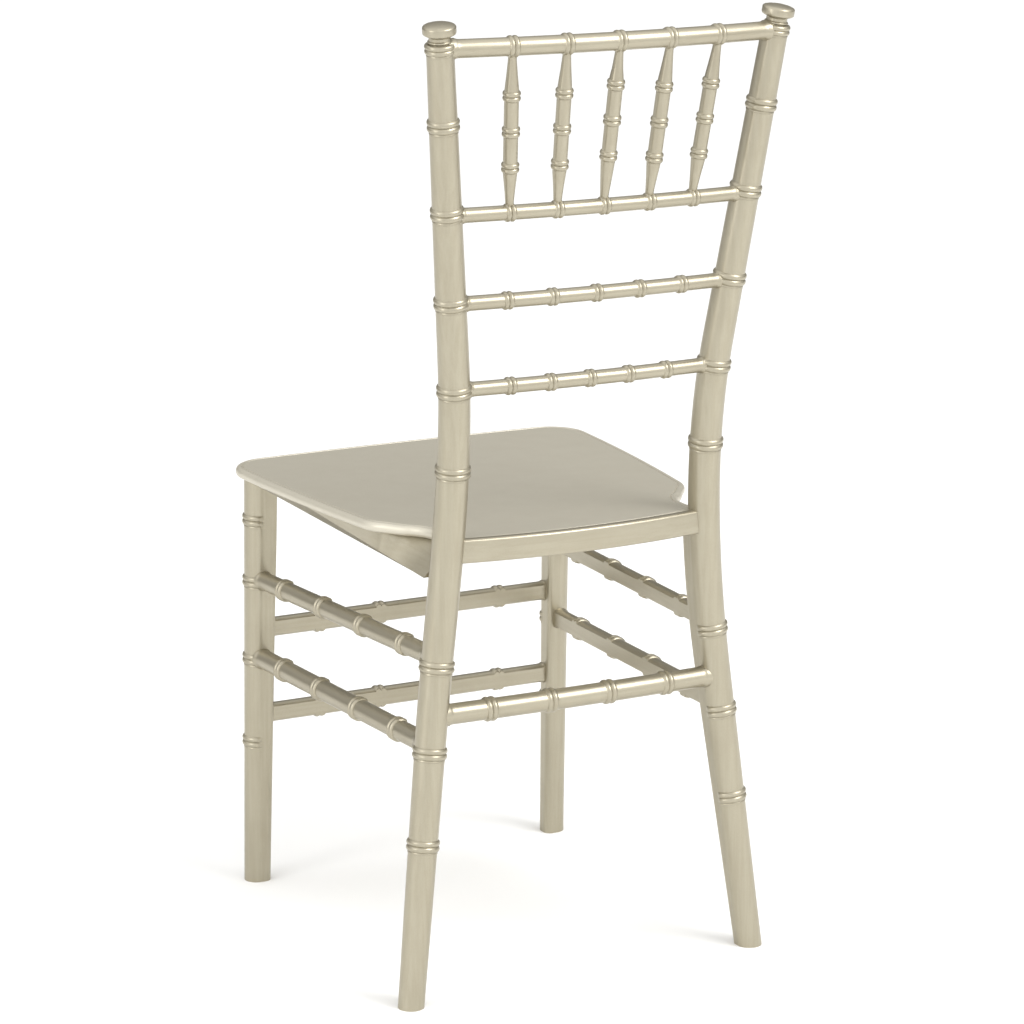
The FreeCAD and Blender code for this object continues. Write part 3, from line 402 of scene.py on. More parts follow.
def upright(piece, line, radius_at, away_y):
    """Lays a straight turning along its centreline, with the square corner below the seat."""

    def place(point):
        z = point.z
        x, y = point.x, point.y
        if z < SEAT_UNDER:
            x, y = cornered(point, radius_at(max(z, 0)), away_y)
        axis = axis_at(line, z)
        aside = Vector((1, 0, 0))
        aside = (aside - axis * aside.dot(axis)).normalized()
        back = axis.cross(aside)
        return line(z) + aside * x + back * y

    return reshaped(piece, place)


BELOW_FLOOR = -6.0
SPLIT = 0.02


def upright_profile(radius_at, top, rings):
    """Profile from below the floor, split under the seat, where the square corner stops."""
    points = turned_profile(radius_at, BELOW_FLOOR, top, rings)
    split = []
    for a, b in zip(points, points[1:]):
        split.append(a)
        if a[1] < SEAT_UNDER <= b[1]:
            split += [(radius_at(SEAT_UNDER), SEAT_UNDER + step) for step in (-SPLIT, SPLIT)]
    return split + [points[-1]]


def cut_at_floor(piece):
    sliced(piece, (0, 0, 0), (0, 0, -1))


class CHAIR_OT_posts(bpy.types.Operator):
    """Rear posts: one turning each from the floor to the finial, bent at the seat"""

    bl_idname = "chair.posts"
    bl_label = "Rear Posts"

    def execute(self, context):
        body = upright_profile(post_radius, 876.0, POST_RINGS)
        head = double_bead(post_radius, 884.7, 0.8)
        tip = [(9.8, 889.1), (9.8, 889.5), (0, 889.5)]
        post = turned("rear_post_left_turned", [*body[:-2], *head, *tip])
        upright(post, post_point, post_radius, -1)
        cut_at_floor(post)
        softened(post)
        fitted_pair(post, satin_paint("upright"))
        return {"FINISHED"}


class CHAIR_OT_front_legs(bpy.types.Operator):
    """Front legs: turnings with a square corner towards the middle of the seat"""

    bl_idname = "chair.front_legs"
    bl_label = "Front Legs"

    def execute(self, context):
        profile = upright_profile(leg_radius, SEAT_UNDER + 3, LEG_RINGS)
        leg = turned("front_leg_left_turned", profile)
        upright(leg, leg_point, leg_radius, 1)
        cut_at_floor(leg)
        softened(leg)
        fitted_pair(leg, satin_paint("upright"))
        return {"FINISHED"}


class CHAIR_OT_finials(bpy.types.Operator):
    """Finials: capped knobs with a collar on top of the rear posts"""

    bl_idname = "chair.finials"
    bl_label = "Finials"

    def execute(self, context):
        collar = bead(9.7, 1.45, 1.1, 1.1, -1.4, 1.4, 8)
        profile = [
            (0, 0), (9.4, 0), *collar, (9.5, 3.0), (9.55, 5.2), (9.9, 5.8), (10.8, 6.3),
            (13.6, 7.6), (14.2, 8.0), (14.6, 8.6), (14.75, 9.4), (14.75, 13.5), (14.6, 14.2),
            (14.1, 14.9), (13.2, 15.5), (11.4, 16.1), (8.6, 16.7), (5.4, 17.1), (2.4, 17.3),
            (0, 17.4),
        ]
        knob = turned("finial_left_turned", profile)
        seat = post_point(FINIAL_SEAT)
        turn = axis_at(post_point, FINIAL_SEAT).to_track_quat("Z", "Y").to_matrix()
        reshaped(knob, lambda point: seat + turn @ point)
        softened(knob, 28)
        fitted_pair(knob, satin_paint("finial"))
        return {"FINISHED"}


# Bars bowed backwards between the posts; pitch and count are those of the double beads
Rail = namedtuple("Rail", "node height bow radius pitch count share flat")
TOP_RAIL = Rail("top_rail", 883.8, 15.0, 8.2, 51.0, 5, RAIL_BEADS, False)
SPINDLE_RAIL = Rail("spindle_rail", 735.5, 9.0, 6.7, 46.2, 5, RAIL_BEADS, False)
RAILS = (
    TOP_RAIL,
    SPINDLE_RAIL,
    Rail("upper_back_rail", 654.8, 7.0, 6.7, 44.1, 5, RAIL_BEADS, False),
    Rail("lower_back_rail", 574.7, 6.4, 6.7, 39.8, 5, RAIL_BEADS, False),
    Rail("rear_stretcher", 270.2, 3.6, 9.7, 61.4, 4, 1.0, True),
)


def rail_arc(rail):
    """(sweep radius, centre y, half span) of a bowed bar between the posts."""
    end = post_point(rail.height)
    sweep = (end.x ** 2 + rail.bow ** 2) / (2 * rail.bow)
    return sweep, end.y + rail.bow - sweep, end.x


def on_rail(rail, run, out=0.0, up=0.0):
    """The point a run along the rail's arc, moved out from it and up."""
    sweep, centre, _ = rail_arc(rail)
    turn, reach = run / sweep, sweep + out
    return Vector((reach * math.sin(turn), centre + reach * math.cos(turn), rail.height + up))


END_DEPTH = 3.0  # where a bar ends inside an upright, from the upright's centreline
FLARE = ((4.0, 0.05), (2.4, 0.25), (1.2, 0.6), (0.0, 1.2))  # (distance from the upright, growth)


def shouldered(radius, length, first_upright, second_upright, pitch, count, share):
    """Profile of a bar with even double beads that flares a little where it meets each upright.

    The length is between the centrelines of the uprights, whose radii are given.
    """
    first = length / 2 - pitch * (count - 1) / 2
    rings = [first + pitch * i for i in range(count)]
    low, high = first_upright + 6, length - second_upright - 6
    points = turned_profile(lambda h: radius, low, high, rings, 14.0, share, cove=False)[1:-1]
    left = [(radius + grow, first_upright + back) for back, grow in reversed(FLARE)]
    right = [(radius + grow, length - second_upright - back) for back, grow in FLARE]
    left.insert(0, (left[0][0], END_DEPTH))
    right.append((right[-1][0], length - END_DEPTH))
    return [(0, END_DEPTH), *left, *points, *right, (0, length - END_DEPTH)]


class CHAIR_OT_rails(bpy.types.Operator):
    """Back rails and rear stretcher: beaded bars bowed between the posts"""

    bl_idname = "chair.rails"
    bl_label = "Back Rails"

    def execute(self, context):
        finish = satin_paint("crosswise")
        for rail in RAILS:
            sweep, _, half = rail_arc(rail)
            reach = sweep * math.asin(half / sweep)
            clear = post_radius(rail.height)
            straight = shouldered(
                rail.radius, 2 * reach, clear, clear, rail.pitch, rail.count, rail.share
            )
            piece = turned(rail.node + "_turned", [(r, h - reach) for r, h in straight], "X")
            if rail.flat:
                sliced(piece, (0, -FLAT_SHARE * rail.radius, 0), (0, -1, 0))
            reshaped(piece, lambda p: on_rail(rail, p.x, p.y, p.z))
            softened(piece)
            fitted(piece, finish)
        return {"FINISHED"}


SPINDLE_RING, CENTRE_SPINDLE_LIFT, SPINDLE_PITCH = 808.5, 5.0, 32.6


class CHAIR_OT_spindles(bpy.types.Operator):
    """Spindles: five tapered sticks with three double beads each"""

    bl_idname = "chair.spindles"
    bl_label = "Spindles"

    def execute(self, context):
        finish = satin_paint("upright")
        for number, steps in enumerate((2, 1, 0, -1, -2), start=1):
            head = on_rail(TOP_RAIL, TOP_RAIL.pitch * steps, up=-7.6)
            foot = on_rail(SPINDLE_RAIL, SPINDLE_RAIL.pitch * steps, up=6.1)
            length = (head - foot).length
            run = (head - foot).normalized()
            ring_height = SPINDLE_RING + (CENTRE_SPINDLE_LIFT if steps == 0 else 0.0)
            middle = (ring_height - foot.z) / run.z
            stations = (
                (-10.0, 3.7), (2.0, 3.75), (10.0, 4.35), (18.0, 5.1),
                (middle - 38.5, 6.4), (middle - 30, 6.5), (middle + 30, 6.5), (middle + 38.5, 6.4),
                (length - 18, 5.1), (length - 10, 4.35), (length - 2, 3.75), (length + 10, 3.7),
            )

            def radius_at(h):
                for (h0, r0), (h1, r1) in zip(stations, stations[1:]):
                    if h <= h1:
                        return mix(r0, r1, (h - h0) / (h1 - h0))
                return stations[-1][1]

            rings = [middle - SPINDLE_PITCH, middle, middle + SPINDLE_PITCH]
            profile = turned_profile(
                radius_at, -1.5, length + 1.5, rings, 5.0, RAIL_BEADS, cove=False
            )
            stick = turned(f"spindle_{number}_turned", profile)
            turn = run.to_track_quat("Z", "Y").to_matrix()
            reshaped(stick, lambda point: foot + turn @ point)
            softened(stick)
            fitted(stick, finish)
        return {"FINISHED"}


# Straight stretchers between two uprights, whose radii keep the shoulders clear of them
Bar = namedtuple("Bar", "node start end radius pitch inner clear_start clear_end")


def straight_bars():
    bars = []
    for name, radius, front, rear in (("upper", 9.0, 317.0, 324.0), ("lower", 9.7, 236.3, 243.3)):
        bars.append(Bar(
            f"{name}_side_stretcher_left", leg_point(front), post_point(rear), radius, 79.8,
            (-1, 0, 0), leg_radius(front), post_radius(rear),
        ))
    for name, height in (("upper", 265.0), ("lower", 175.7)):
        end, clear = leg_point(height), leg_radius(height)
        start = Vector((-end.x, end.y, end.z))
        bars.append(Bar(
            f"{name}_front_stretcher", start, end, 9.7, 67.2, (0, 1, 0), clear, clear
        ))
    return bars


class CHAIR_OT_stretchers(bpy.types.Operator):
    """Side and front stretchers: beaded bars with a flat inner face"""

    bl_idname = "chair.stretchers"
    bl_label = "Stretchers"

    def execute(self, context):
        for bar in straight_bars():
            run = bar.end - bar.start
            profile = shouldered(
                bar.radius, run.length, bar.clear_start, bar.clear_end, bar.pitch, 4, 1.0
            )
            piece = turned(bar.node + "_turned", profile)
            along = run.normalized()
            inward = Vector(bar.inner)
            inward = (inward - along * inward.dot(along)).normalized()
            turn = Matrix((inward, along.cross(inward), along)).transposed()
            sliced(piece, (FLAT_SHARE * bar.radius, 0, 0), (1, 0, 0))
            reshaped(piece, lambda point: bar.start + turn @ point)
            softened(piece)
            if bar.node.endswith("left"):
                fitted_pair(piece, satin_paint("lengthwise"))
            else:
                fitted(piece, satin_paint("crosswise"))
        return {"FINISHED"}


# Seat outline
SEAT_FRONT, SEAT_CORNER, SEAT_HALF_WIDTH = -231.4, 40.0, 191.5
NOSING = 4.6  # radius of the rounding round the panel's edge


def arc_points(a, b, c, steps):
    """Points along the circle through three points, or along a line if the middle is None."""
    a, c = Vector(a), Vector(c)
    if b is None:
        return [a.lerp(c, i / steps) for i in range(1, steps + 1)]
    b = Vector(b)
    d = 2 * (a.x * (b.y - c.y) + b.x * (c.y - a.y) + c.x * (a.y - b.y))
    ux = (a.dot(a) * (b.y - c.y) + b.dot(b) * (c.y - a.y) + c.dot(c) * (a.y - b.y)) / d
    uy = (a.dot(a) * (c.x - b.x) + b.dot(b) * (a.x - c.x) + c.dot(c) * (b.x - a.x)) / d
    centre = Vector((ux, uy))
    radius = (a - centre).length
    angles = [math.atan2((p - centre).y, (p - centre).x) for p in (a, b, c)]
    sweep = (angles[2] - angles[0]) % math.tau
    if (angles[1] - angles[0]) % math.tau > sweep:
        sweep -= math.tau
    made = []
    for i in range(1, steps + 1):
        turn = angles[0] + sweep * i / steps
        made.append(centre + Vector((math.cos(turn), math.sin(turn))) * radius)
    return made


def seat_side(inset):
    """Edges of the panel's left side from the front corner to the posts, moved in by an inset."""
    half, rear_half, corner = SEAT_HALF_WIDTH - inset, 170.0 - inset, SEAT_CORNER
    front = SEAT_FRONT + inset
    side_start = front + corner
    tip, waist, waist_y = 43.6, 129.5 - inset, 118.6
    bulge = (half + rear_half) / 2 + 3.0
    cut_back = corner * (1 - math.sqrt(0.5))
    knee = (rear_half * 0.42 + waist * 0.58, waist_y - 32 - inset * 0.4)
    aside, behind = knee[0] - waist, waist_y - knee[1]
    waist_radius = (aside ** 2 + behind ** 2) / (2 * aside)
    half_turn = math.asin(behind / waist_radius) / 2
    middle = (
        waist + waist_radius * (1 - math.cos(half_turn)),
        waist_y - waist_radius * math.sin(half_turn),
    )
    shoulder = (rear_half - 11, tip + 25 - inset * 0.4)
    return [
        ((half - corner, front), (half - cut_back, front + cut_back), (half, side_start), 14),
        ((half, side_start), (bulge, (side_start + tip) / 2), (rear_half, tip), 22),
        ((rear_half, tip), (rear_half - 3.5, tip + 14 - inset * 0.3), shoulder, 8),
        (shoulder, None, knee, 5),
        (knee, middle, (waist, waist_y), 8),
    ]


def side_run(inset, first=0):
    """Points along the edges of the panel's left side, from one of them on."""
    edges = seat_side(inset)[first:]
    points = [Vector(edges[0][0])]
    for a, b, c, steps in edges:
        points += arc_points(a, b, c, steps)
    return points


APRON_Y = post_point(SEAT_UNDER).y - 3.0
APRON_HALF = post_point(SEAT_UNDER).x
APRON_BOW = 14.0
APRON_SWEEP = (APRON_HALF ** 2 + APRON_BOW ** 2) / (2 * APRON_BOW)
APRON_CENTRE = APRON_Y + APRON_BOW - APRON_SWEEP


def apron_arc(x, out=0.0):
    """The y of the rear apron's inner face, moved out, at an x."""
    return APRON_CENTRE + math.sqrt((APRON_SWEEP + out) ** 2 - x ** 2)


def quarter_round(radius, steps):
    """(inwards, outwards) steps of insets that round off an edge."""
    turns = [math.pi / 2 * i / steps for i in range(steps + 1)]
    return [
        (radius * (math.cos(a) - math.cos(b)), radius * (math.sin(b) - math.sin(a)))
        for a, b in zip(turns, turns[1:])
    ]


class CHAIR_OT_seat(bpy.types.Operator):
    """Seat panel: waisted board with a half-round nosing set off by a fine groove"""

    bl_idname = "chair.seat"
    bl_label = "Seat Panel"

    def execute(self, context):
        left = side_run(0.0)
        over_apron = 5.0
        corner_x = left[-1].x
        near = corner_x - 18  # an edge shorter than the insets would spike
        across = [corner_x, *(near * (1 - i / 20) for i in range(41)), -corner_x]
        rear = [Vector((x, apron_arc(x, over_apron))) for x in across]
        straight = SEAT_HALF_WIDTH - SEAT_CORNER
        front = arc_points((-straight, SEAT_FRONT), (0, -234.7), (straight, SEAT_FRONT), 24)
        right = [Vector((-p.x, p.y)) for p in reversed(left)]
        outline = [*left, *rear, *right, *front[:-1]]
        outline = [p for i, p in enumerate(outline) if (p - outline[i - 1]).length > 0.05]
        points = [(p.x, p.y, SEAT_UNDER + NOSING) for p in outline]
        seat = start_point("seat_panel_shaped", points[0])
        draw(points)
        bpy.ops.mesh.select_all(action="SELECT")
        bpy.ops.mesh.edge_face_add()
        bpy.ops.mesh.extrude_region_move(TRANSFORM_OT_translate={"value": (0, 0, 0.8 * MM)})
        bpy.ops.mesh.select_all(action="SELECT")
        bpy.ops.mesh.normals_make_consistent(inside=False)
        rounding = quarter_round(NOSING, 6)
        groove = [(1.1, -0.25), (0.5, -0.75), (0.6, 0.0), (0.5, 0.75), (1.0, 0.12), (3.0, 0.0)]
        lip = [(0.9, -0.2), (0.6, -0.8), (0.6, 0.6), (3.0, 0.0)]
        middle = (SEAT_UNDER + 5) * MM
        for upper, edge in ((True, groove), (False, lip)):
            select_faces(
                seat, lambda face: len(face.vertices) > 10 and (face.center.z > middle) == upper
            )
            for thickness, depth in (*rounding, *edge):
                bpy.ops.mesh.inset(thickness=thickness * MM, depth=depth * MM, use_even_offset=True)
        bpy.ops.mesh.select_mode(type="VERT")
        closed(seat)
        softened(seat, 38)
        fitted(seat, lit_seat_paint())
        return {"FINISHED"}


def apron_section():
    """(outwards, height) points of the rear apron: its top edges rounded, its lower ones eased."""
    thickness, rounding, ease = 10.0, 3.0, 0.8
    high = SEAT_TOP + 1.0
    low = high - 22.0
    section = []
    for y, start in ((thickness - rounding, 0), (rounding, 90)):
        for i in range(7):
            turn = math.radians(start + 15 * i)
            rise = high - rounding + rounding * math.sin(turn)
            section.append((y + rounding * math.cos(turn), rise))
    low_edge = [(0.0, low + ease), (ease, low), (thickness - ease, low), (thickness, low + ease)]
    return section + low_edge


SIDE_INSET, SIDE_WALL = 6.5, 6.0
WEB_START, WEB_END = Vector((176.0, -72.0, SEAT_UNDER - 1.0)), Vector((151.0, 140.0, 398.0))


class CHAIR_OT_aprons(bpy.types.Operator):
    """Bowed rear apron and the side aprons that run out under the nosing"""

    bl_idname = "chair.aprons"
    bl_label = "Aprons"

    def rear(self):
        points = [(0, APRON_SWEEP + y + APRON_CENTRE, z) for y, z in apron_section()]
        apron = start_point("rear_apron_bowed", points[0])
        draw(points + points[:1])
        bpy.ops.mesh.select_all(action="SELECT")
        bpy.ops.mesh.remove_doubles(threshold=SEAM)
        bpy.ops.mesh.edge_face_add()
        bpy.ops.object.mode_set(mode="OBJECT")
        reach = math.asin((APRON_HALF - 6) / APRON_SWEEP)
        for vertex in apron.data.vertices:
            out = vertex.co.y / MM - APRON_CENTRE
            vertex.co.x = out * math.sin(reach) * MM
            vertex.co.y = (APRON_CENTRE + out * math.cos(reach)) * MM
        edit_all(apron)
        centre = (0, APRON_CENTRE * MM, 0)
        bpy.ops.mesh.spin(steps=40, angle=-2 * reach, center=centre, axis=(0, 0, 1))
        closed(apron)
        softened(apron, 35)
        fitted(apron, satin_paint("crosswise"))

    def sides(self):
        tail = post_point(SEAT_UNDER).y - 13.0
        outer, inner = side_run(SIDE_INSET, 1), side_run(SIDE_INSET + SIDE_WALL, 1)
        ends = [Vector((outer[-1].x, tail)), Vector((inner[-1].x, tail))]
        outline = [*outer, *ends, *reversed(inner)]
        side = prism("side_apron_left_shaped", outline, SEAT_UNDER - 24.0, SEAT_UNDER + 1.5)
        wall_line = [*outer, Vector((outer[-1].x, tail + 1))]

        def wall_x(y):
            for a, b in zip(wall_line, wall_line[1:]):
                if y <= b.y:
                    return mix(a.x, b.x, max(y - a.y, 0) / max(b.y - a.y, 0.001))
            return wall_line[-1].x

        def swept_out(point):
            """The wall's lower edge runs straight from under the nosing to the post's side."""
            if point.z > SEAT_UNDER:
                return point
            share = (point.y - WEB_START.y) / (WEB_END.y - WEB_START.y)
            if share <= 0:
                return Vector((point.x, point.y, WEB_START.z))
            low_edge = WEB_START.lerp(WEB_END, share)
            return Vector((point.x + low_edge.x - wall_x(point.y), point.y, low_edge.z))

        reshaped(side, swept_out)
        softened(side, 30)
        fitted_pair(side, satin_paint("lengthwise"))

    def execute(self, context):
        self.rear()
        self.sides()
        return {"FINISHED"}


# Materials: shader maths as expressions on sockets
class Flow:
    """A node's output that adds, subtracts and multiplies by making math nodes."""

    def __init__(self, sheet, socket):
        self.sheet = sheet
        self.socket = socket

    def _join(self, operation, first, second):
        return self.sheet.node("ShaderNodeMath", {"operation": operation}, {0: first, 1: second})

    def __add__(self, other):
        return self._join("ADD", self, other)

    def __radd__(self, other):
        return self._join("ADD", other, self)

    def __sub__(self, other):
        return self._join("SUBTRACT", self, other)

    def __mul__(self, other):
        return self._join("MULTIPLY", self, other)


class Sheet:
    """Nodes made by calls on one tree."""

    def __init__(self, tree):
        self.tree = tree

    def node(self, kind, settings=None, values=None, output=0):
        made = self.tree.nodes.new(kind)
        for key, value in (settings or {}).items():
            if key == "stops":
                for i, (at, colour) in enumerate(value):
                    ramp = made.color_ramp.elements
                    stop = ramp[i] if i < 2 else ramp.new(at)
                    stop.position = at
                    stop.color = (*colour, 1) if len(colour) == 3 else colour
            else:
                setattr(made, key, value)
        for key, value in (values or {}).items():
            if isinstance(value, Flow):
                self.tree.links.new(value.socket, made.inputs[key])
            elif value is not None:
                made.inputs[key].default_value = value
        return Flow(self, made.outputs[output]) if made.outputs else None


class Finish(Sheet):
    """A node material."""

    def __init__(self, name):
        self.material = bpy.data.materials.new(name)
        self.material.use_nodes = True
        super().__init__(self.material.node_tree)
        self.tree.nodes.clear()

    def place(self):
        return self.node("ShaderNodeTexCoord", output="Object")

    def stretched(self, scale):
        return self.node("ShaderNodeMapping", {}, {"Vector": self.place(), "Scale": scale})

    def noise(self, vector, scale, detail=2.0, roughness=0.5):
        return self.node(
            "ShaderNodeTexNoise", {},
            {"Vector": vector, "Scale": scale, "Detail": detail, "Roughness": roughness},
        )

    def blend(self, factor, first, second):
        return self.node(
            "ShaderNodeMix", {"data_type": "RGBA"}, {0: factor, 6: first, 7: second}, output=2
        )

    def bump(self, height, strength=0.05, distance=0.0004):
        return self.node(
            "ShaderNodeBump", {}, {"Strength": strength, "Distance": distance, "Height": height}
        )

    def surface(self, **values):
        inputs = {key.replace("_", " "): value for key, value in values.items()}
        shader = self.node("ShaderNodeBsdfPrincipled", {}, inputs)
        self.node("ShaderNodeOutputMaterial", {}, {"Surface": shader})
        return self.material


def four(colour):
    return (*colour, 1.0)


# Stretch of the flow lines, shortest along the piece
GRAINS = {
    "upright": (1, 1, 0.03),
    "crosswise": (0.03, 1, 1),
    "lengthwise": (1, 0.03, 1),
    "finial": (1, 1, 0.3),
}


def satin_paint(way):
    """Champagne metallic paint: fine flake, faint flow lines along the piece, soft mottling."""
    name = f"satin_paint_{way}"
    if name in bpy.data.materials:
        return bpy.data.materials[name]
    paint = Finish(name)
    streak = paint.noise(paint.stretched(GRAINS[way]), 260.0, detail=3.0, roughness=0.6)
    mottle = paint.noise(paint.place(), 38.0, detail=2.0, roughness=0.5)
    flake = paint.noise(paint.place(), 2600.0, detail=1.0, roughness=0.6)
    contrast = {"stops": [(0.36, (0, 0, 0)), (0.62, (1, 1, 1))]}
    depth = paint.node("ShaderNodeValToRGB", contrast, {"Fac": streak})
    shade = depth * 0.14 + mottle * 0.16 + (flake - 0.5) * 0.6
    colour = paint.blend(shade, four(colours().paint), four(colours().paint_deep))
    bump = paint.bump(flake * 0.5 + streak * 0.5)
    return paint.surface(
        Base_Color=colour, Metallic=0.8, Roughness=0.27 + mottle * 0.08 + flake * 0.06, Normal=bump
    )


def lit_seat_paint():
    """Seat paint: the frame's paint with painted light, a lighter and flatter copy of its colour for
    the seat's lit top, with the same fine flake.
    """
    paint = Finish("satin_paint_seat")
    mottle = paint.noise(paint.place(), 24.0, detail=3.0, roughness=0.55)
    flake = paint.noise(paint.place(), 2300.0, detail=1.0, roughness=0.6)
    shade = mottle * 0.2 + (flake - 0.5) * 0.3
    # Painted light: the lighter seat colour stands in for light falling on the seat's top.
    colour = paint.blend(shade, four(colours().seat), four(colours().paint_deep))
    return paint.surface(
        Base_Color=colour, Metallic=0.55, Roughness=0.38 + mottle * 0.08, Normal=paint.bump(flake)
    )


def brushed_steel():
    """Plated steel with fine scratches along the screw."""
    if "brushed_steel" in bpy.data.materials:
        return bpy.data.materials["brushed_steel"]
    steel = Finish("brushed_steel")
    scratch = steel.noise(steel.stretched((1, 1, 0.05)), 1800.0)
    colour = steel.blend(scratch, (0.52, 0.53, 0.54, 1), (0.33, 0.34, 0.35, 1))
    return steel.surface(Base_Color=colour, Metallic=1.0, Roughness=0.25 + scratch * 0.2)


def moulded_plastic(name, light, dark):
    """Matt plastic with a fine moulded grain, between two tones."""
    plastic = Finish(name)
    grain = plastic.noise(plastic.place(), 900.0)
    bump = plastic.bump(grain, 0.1, 0.0003)
    colour = plastic.blend(grain, light, dark)
    return plastic.surface(Base_Color=colour, Roughness=0.5 + grain * 0.15, Normal=bump)


BLOCK_SIZE, BLOCK_LOW, SCREW_SETBACK = 46.0, 414.0, 18.3
BLOCK_CORNERS = (
    ("front", Vector((163.1, -198.6)), 1),
    ("rear", Vector((116.8, APRON_Y - 0.2)), -1),
)
SCREW = (
    (0, -1.0), (2.0, -1.0), (2.1, -2.5), (3.8, -2.6), (4.2, -2.2), (4.2, 0.0), (2.0, 0.2),
    (2.0, 14.0), (0, 15.5),
)


class CHAIR_OT_blocks(bpy.types.Operator):
    """Thin three-cornered blocks under the seat and the screws through them"""

    bl_idname = "chair.blocks"
    bl_label = "Corner Blocks"

    def execute(self, context):
        resin = moulded_plastic("block_resin", (0.36, 0.33, 0.26, 1), (0.28, 0.25, 0.19, 1))
        screws = []
        for end, corner, away in BLOCK_CORNERS:
            sideways, lengthways = Vector((BLOCK_SIZE, 0)), Vector((0, away * BLOCK_SIZE))
            outline = [corner, corner - sideways, corner + lengthways, corner]
            name = f"corner_block_{end}_left_shaped"
            block = prism(name, outline, BLOCK_LOW, SEAT_UNDER + 0.1)
            edit_all(block)
            bpy.ops.mesh.bevel(offset=1.2 * MM, segments=2, affect="EDGES")
            closed(block)
            softened(block, 35)
            fitted_pair(block, resin)
            screw = turned(f"seat_screw_{end}", SCREW)
            beside, along = corner.x - SCREW_SETBACK, corner.y + away * SCREW_SETBACK / 2
            place = Vector((beside, along, BLOCK_LOW))
            reshaped(screw, lambda point: place + point)
            screws += [screw, twin(screw, f"seat_screw_{end}_right")]
        nothing_selected()
        for screw in screws:
            screw.select_set(True)
        bpy.context.view_layer.objects.active = screws[0]
        bpy.ops.object.join()
        screws[0].name = "seat_screws_turned"
        softened(screws[0])
        fitted(screws[0], brushed_steel())
        return {"FINISHED"}


class CHAIR_OT_plain_nodes(bpy.types.Operator):
    """Front apron, leg bolts and glides keep their CAD shape and get a finish"""

    bl_idname = "chair.plain_nodes"
    bl_label = "Hidden Fittings"

    def execute(self, context):
        light, dark = (0.055, 0.055, 0.057, 1), (0.035, 0.035, 0.037, 1)
        glides = moulded_plastic("glide_plastic", light, dark)
        finishes = {
            "front_apron": satin_paint("crosswise"),
            "leg_bolts": brushed_steel(),
            "foot_glides": glides,
        }
        for node, finish in finishes.items():
            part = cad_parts[node]
            for slot in part.material_slots:
                slot.material = finish
        return {"FINISHED"}


# Studio, metres and watts
CHAIR_MIDDLE = (0, 0, 0.5)
SOFT_BOXES = (
    ("key_box", (-1.4, 2.2, 2.8), (1.6, 1.6), 60),
    ("side_box", (2.8, 0.6, 1.4), (0.8, 2.0), 14),
)
AIR_LIFT = (0.46, 0.89, 1.1)  # the room is brightest this way
AIR_STOPS = [(0.0, (0.16, 0.155, 0.14)), (1.0, (1, 1, 1)), (0.35, (0.3, 0.295, 0.28))]
AIR_STRENGTH = 1.35
CAMERA_AT, CAMERA_AIM = (1.53037, 3.01321, 1.24989), (0.02839, 0.07479, 0.43148)
CAMERA_LENS = 128.23


def facing(at, aim):
    return (Vector(aim) - Vector(at)).to_track_quat("-Z", "Y").to_euler()


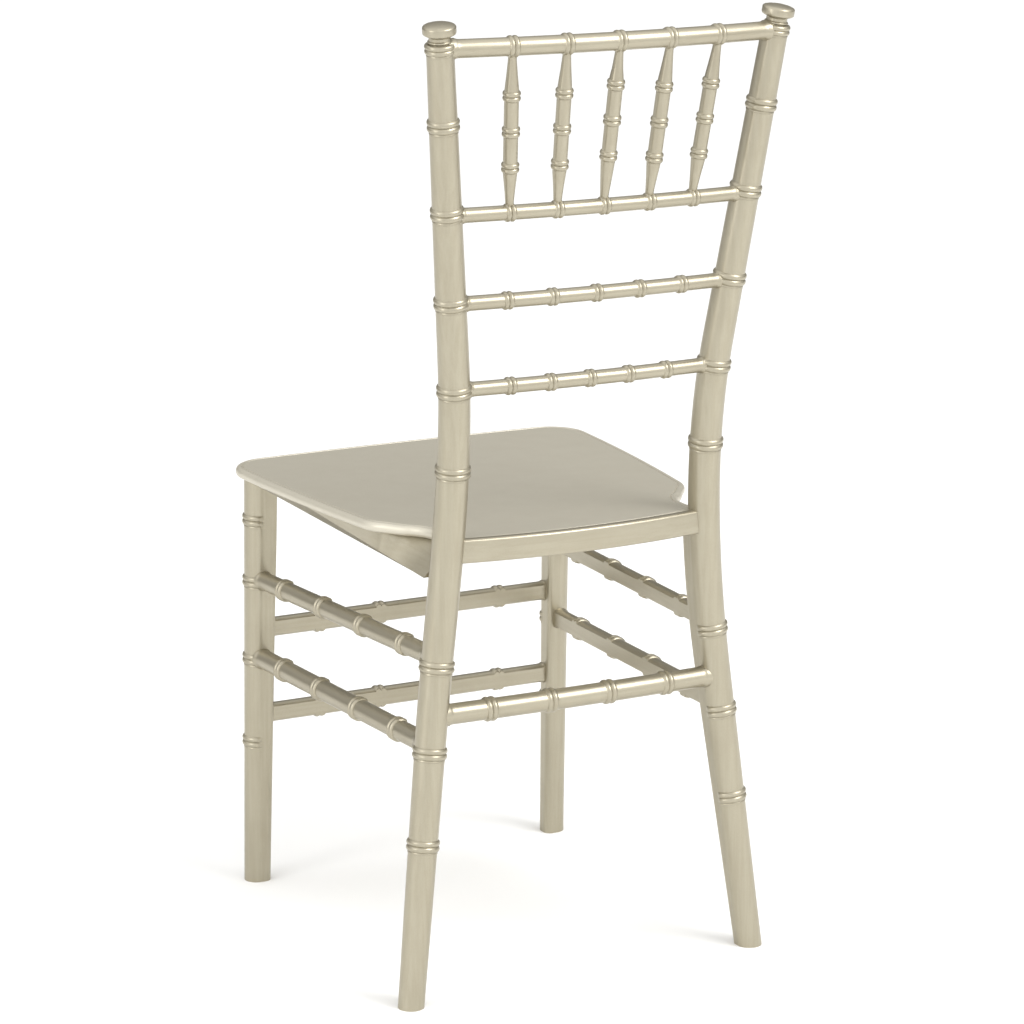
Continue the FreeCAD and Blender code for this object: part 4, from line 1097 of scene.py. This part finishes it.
class CHAIR_OT_studio(bpy.types.Operator):
    """Pale floor, soft boxes and the camera"""

    bl_idname = "chair.studio"
    bl_label = "Studio"

    def floor(self):
        nothing_selected()
        bpy.ops.mesh.primitive_grid_add(x_subdivisions=8, y_subdivisions=8, size=24, location=(0, 0, 0))
        floor = bpy.context.object
        floor.name = "studio_floor"
        paper = Finish("studio_paper")
        fibre = paper.noise(paper.place(), 300.0)
        tone = four(colours().floor)
        colour = paper.blend(fibre, tone, tuple(c * 0.99 for c in tone))
        floor.data.materials.append(paper.surface(Base_Color=colour, Roughness=0.9))

    def air(self):
        """Room light that grows brighter towards one side, for the paint to reflect."""
        world = bpy.data.worlds.new("studio_air")
        bpy.context.scene.world = world
        world.use_nodes = True
        air = Sheet(world.node_tree)
        heading = air.node("ShaderNodeTexCoord", output="Generated")
        lift = air.node(
            "ShaderNodeVectorMath", {"operation": "DOT_PRODUCT"}, {0: heading, 1: AIR_LIFT}, "Value"
        )
        glow = air.node("ShaderNodeValToRGB", {"stops": AIR_STOPS}, {"Fac": lift * 0.8 + 0.5})
        backdrop = world.node_tree.nodes["Background"]
        world.node_tree.links.new(glow.socket, backdrop.inputs["Color"])
        backdrop.inputs["Strength"].default_value = AIR_STRENGTH

    def soft_boxes(self):
        for name, at, size, power in SOFT_BOXES:
            bpy.ops.object.light_add(type="AREA", location=at)
            lamp = bpy.context.object
            lamp.name = name
            lamp.data.shape = "RECTANGLE"
            lamp.data.size, lamp.data.size_y = size
            lamp.data.energy = power
            lamp.rotation_euler = facing(at, CHAIR_MIDDLE)

    def camera(self):
        bpy.ops.object.camera_add(location=CAMERA_AT)
        camera = bpy.context.object
        camera.name = "photo_camera"
        camera.rotation_euler = facing(CAMERA_AT, CAMERA_AIM)
        camera.data.sensor_width = 36.0
        camera.data.lens = CAMERA_LENS
        camera.data.clip_end = 60.0
        bpy.context.scene.camera = camera

    def execute(self, context):
        self.floor()
        self.air()
        self.soft_boxes()
        self.camera()
        bpy.context.scene.view_settings.view_transform = "Standard"
        return {"FINISHED"}


class CHAIR_PT_sidebar(bpy.types.Panel):
    """Sizes, colours and the steps that build the chair"""

    bl_idname = "CHAIR_PT_sidebar"
    bl_label = "Chiavari Chair"
    bl_space_type = "VIEW_3D"
    bl_region_type = "UI"
    bl_category = "Chair"

    def draw(self, context):
        column = self.layout.column()
        for group in (sizes(), colours()):
            for name in group.__annotations__:
                column.prop(group, name)
        for operator in OPERATORS:
            column.operator(operator.bl_idname)


GROUPS = (ChairFrameSizes, ChairFinishColours)
OPERATORS = (
    CHAIR_OT_posts,
    CHAIR_OT_front_legs,
    CHAIR_OT_finials,
    CHAIR_OT_rails,
    CHAIR_OT_spindles,
    CHAIR_OT_stretchers,
    CHAIR_OT_seat,
    CHAIR_OT_aprons,
    CHAIR_OT_blocks,
    CHAIR_OT_plain_nodes,
    CHAIR_OT_studio,
)
CLASSES = (*GROUPS, *OPERATORS, CHAIR_PT_sidebar)


def register():
    for item in CLASSES:
        bpy.utils.register_class(item)
    bpy.types.Scene.chair_frame_sizes = PointerProperty(type=ChairFrameSizes)
    bpy.types.Scene.chair_finish_colours = PointerProperty(type=ChairFinishColours)


def unregister():
    del bpy.types.Scene.chair_finish_colours
    del bpy.types.Scene.chair_frame_sizes
    for item in reversed(CLASSES):
        bpy.utils.unregister_class(item)


def main():
    register()
    for operator in OPERATORS:
        family, action = operator.bl_idname.split(".")
        getattr(getattr(bpy.ops, family), action)()


if __name__ == "__main__":
    main()
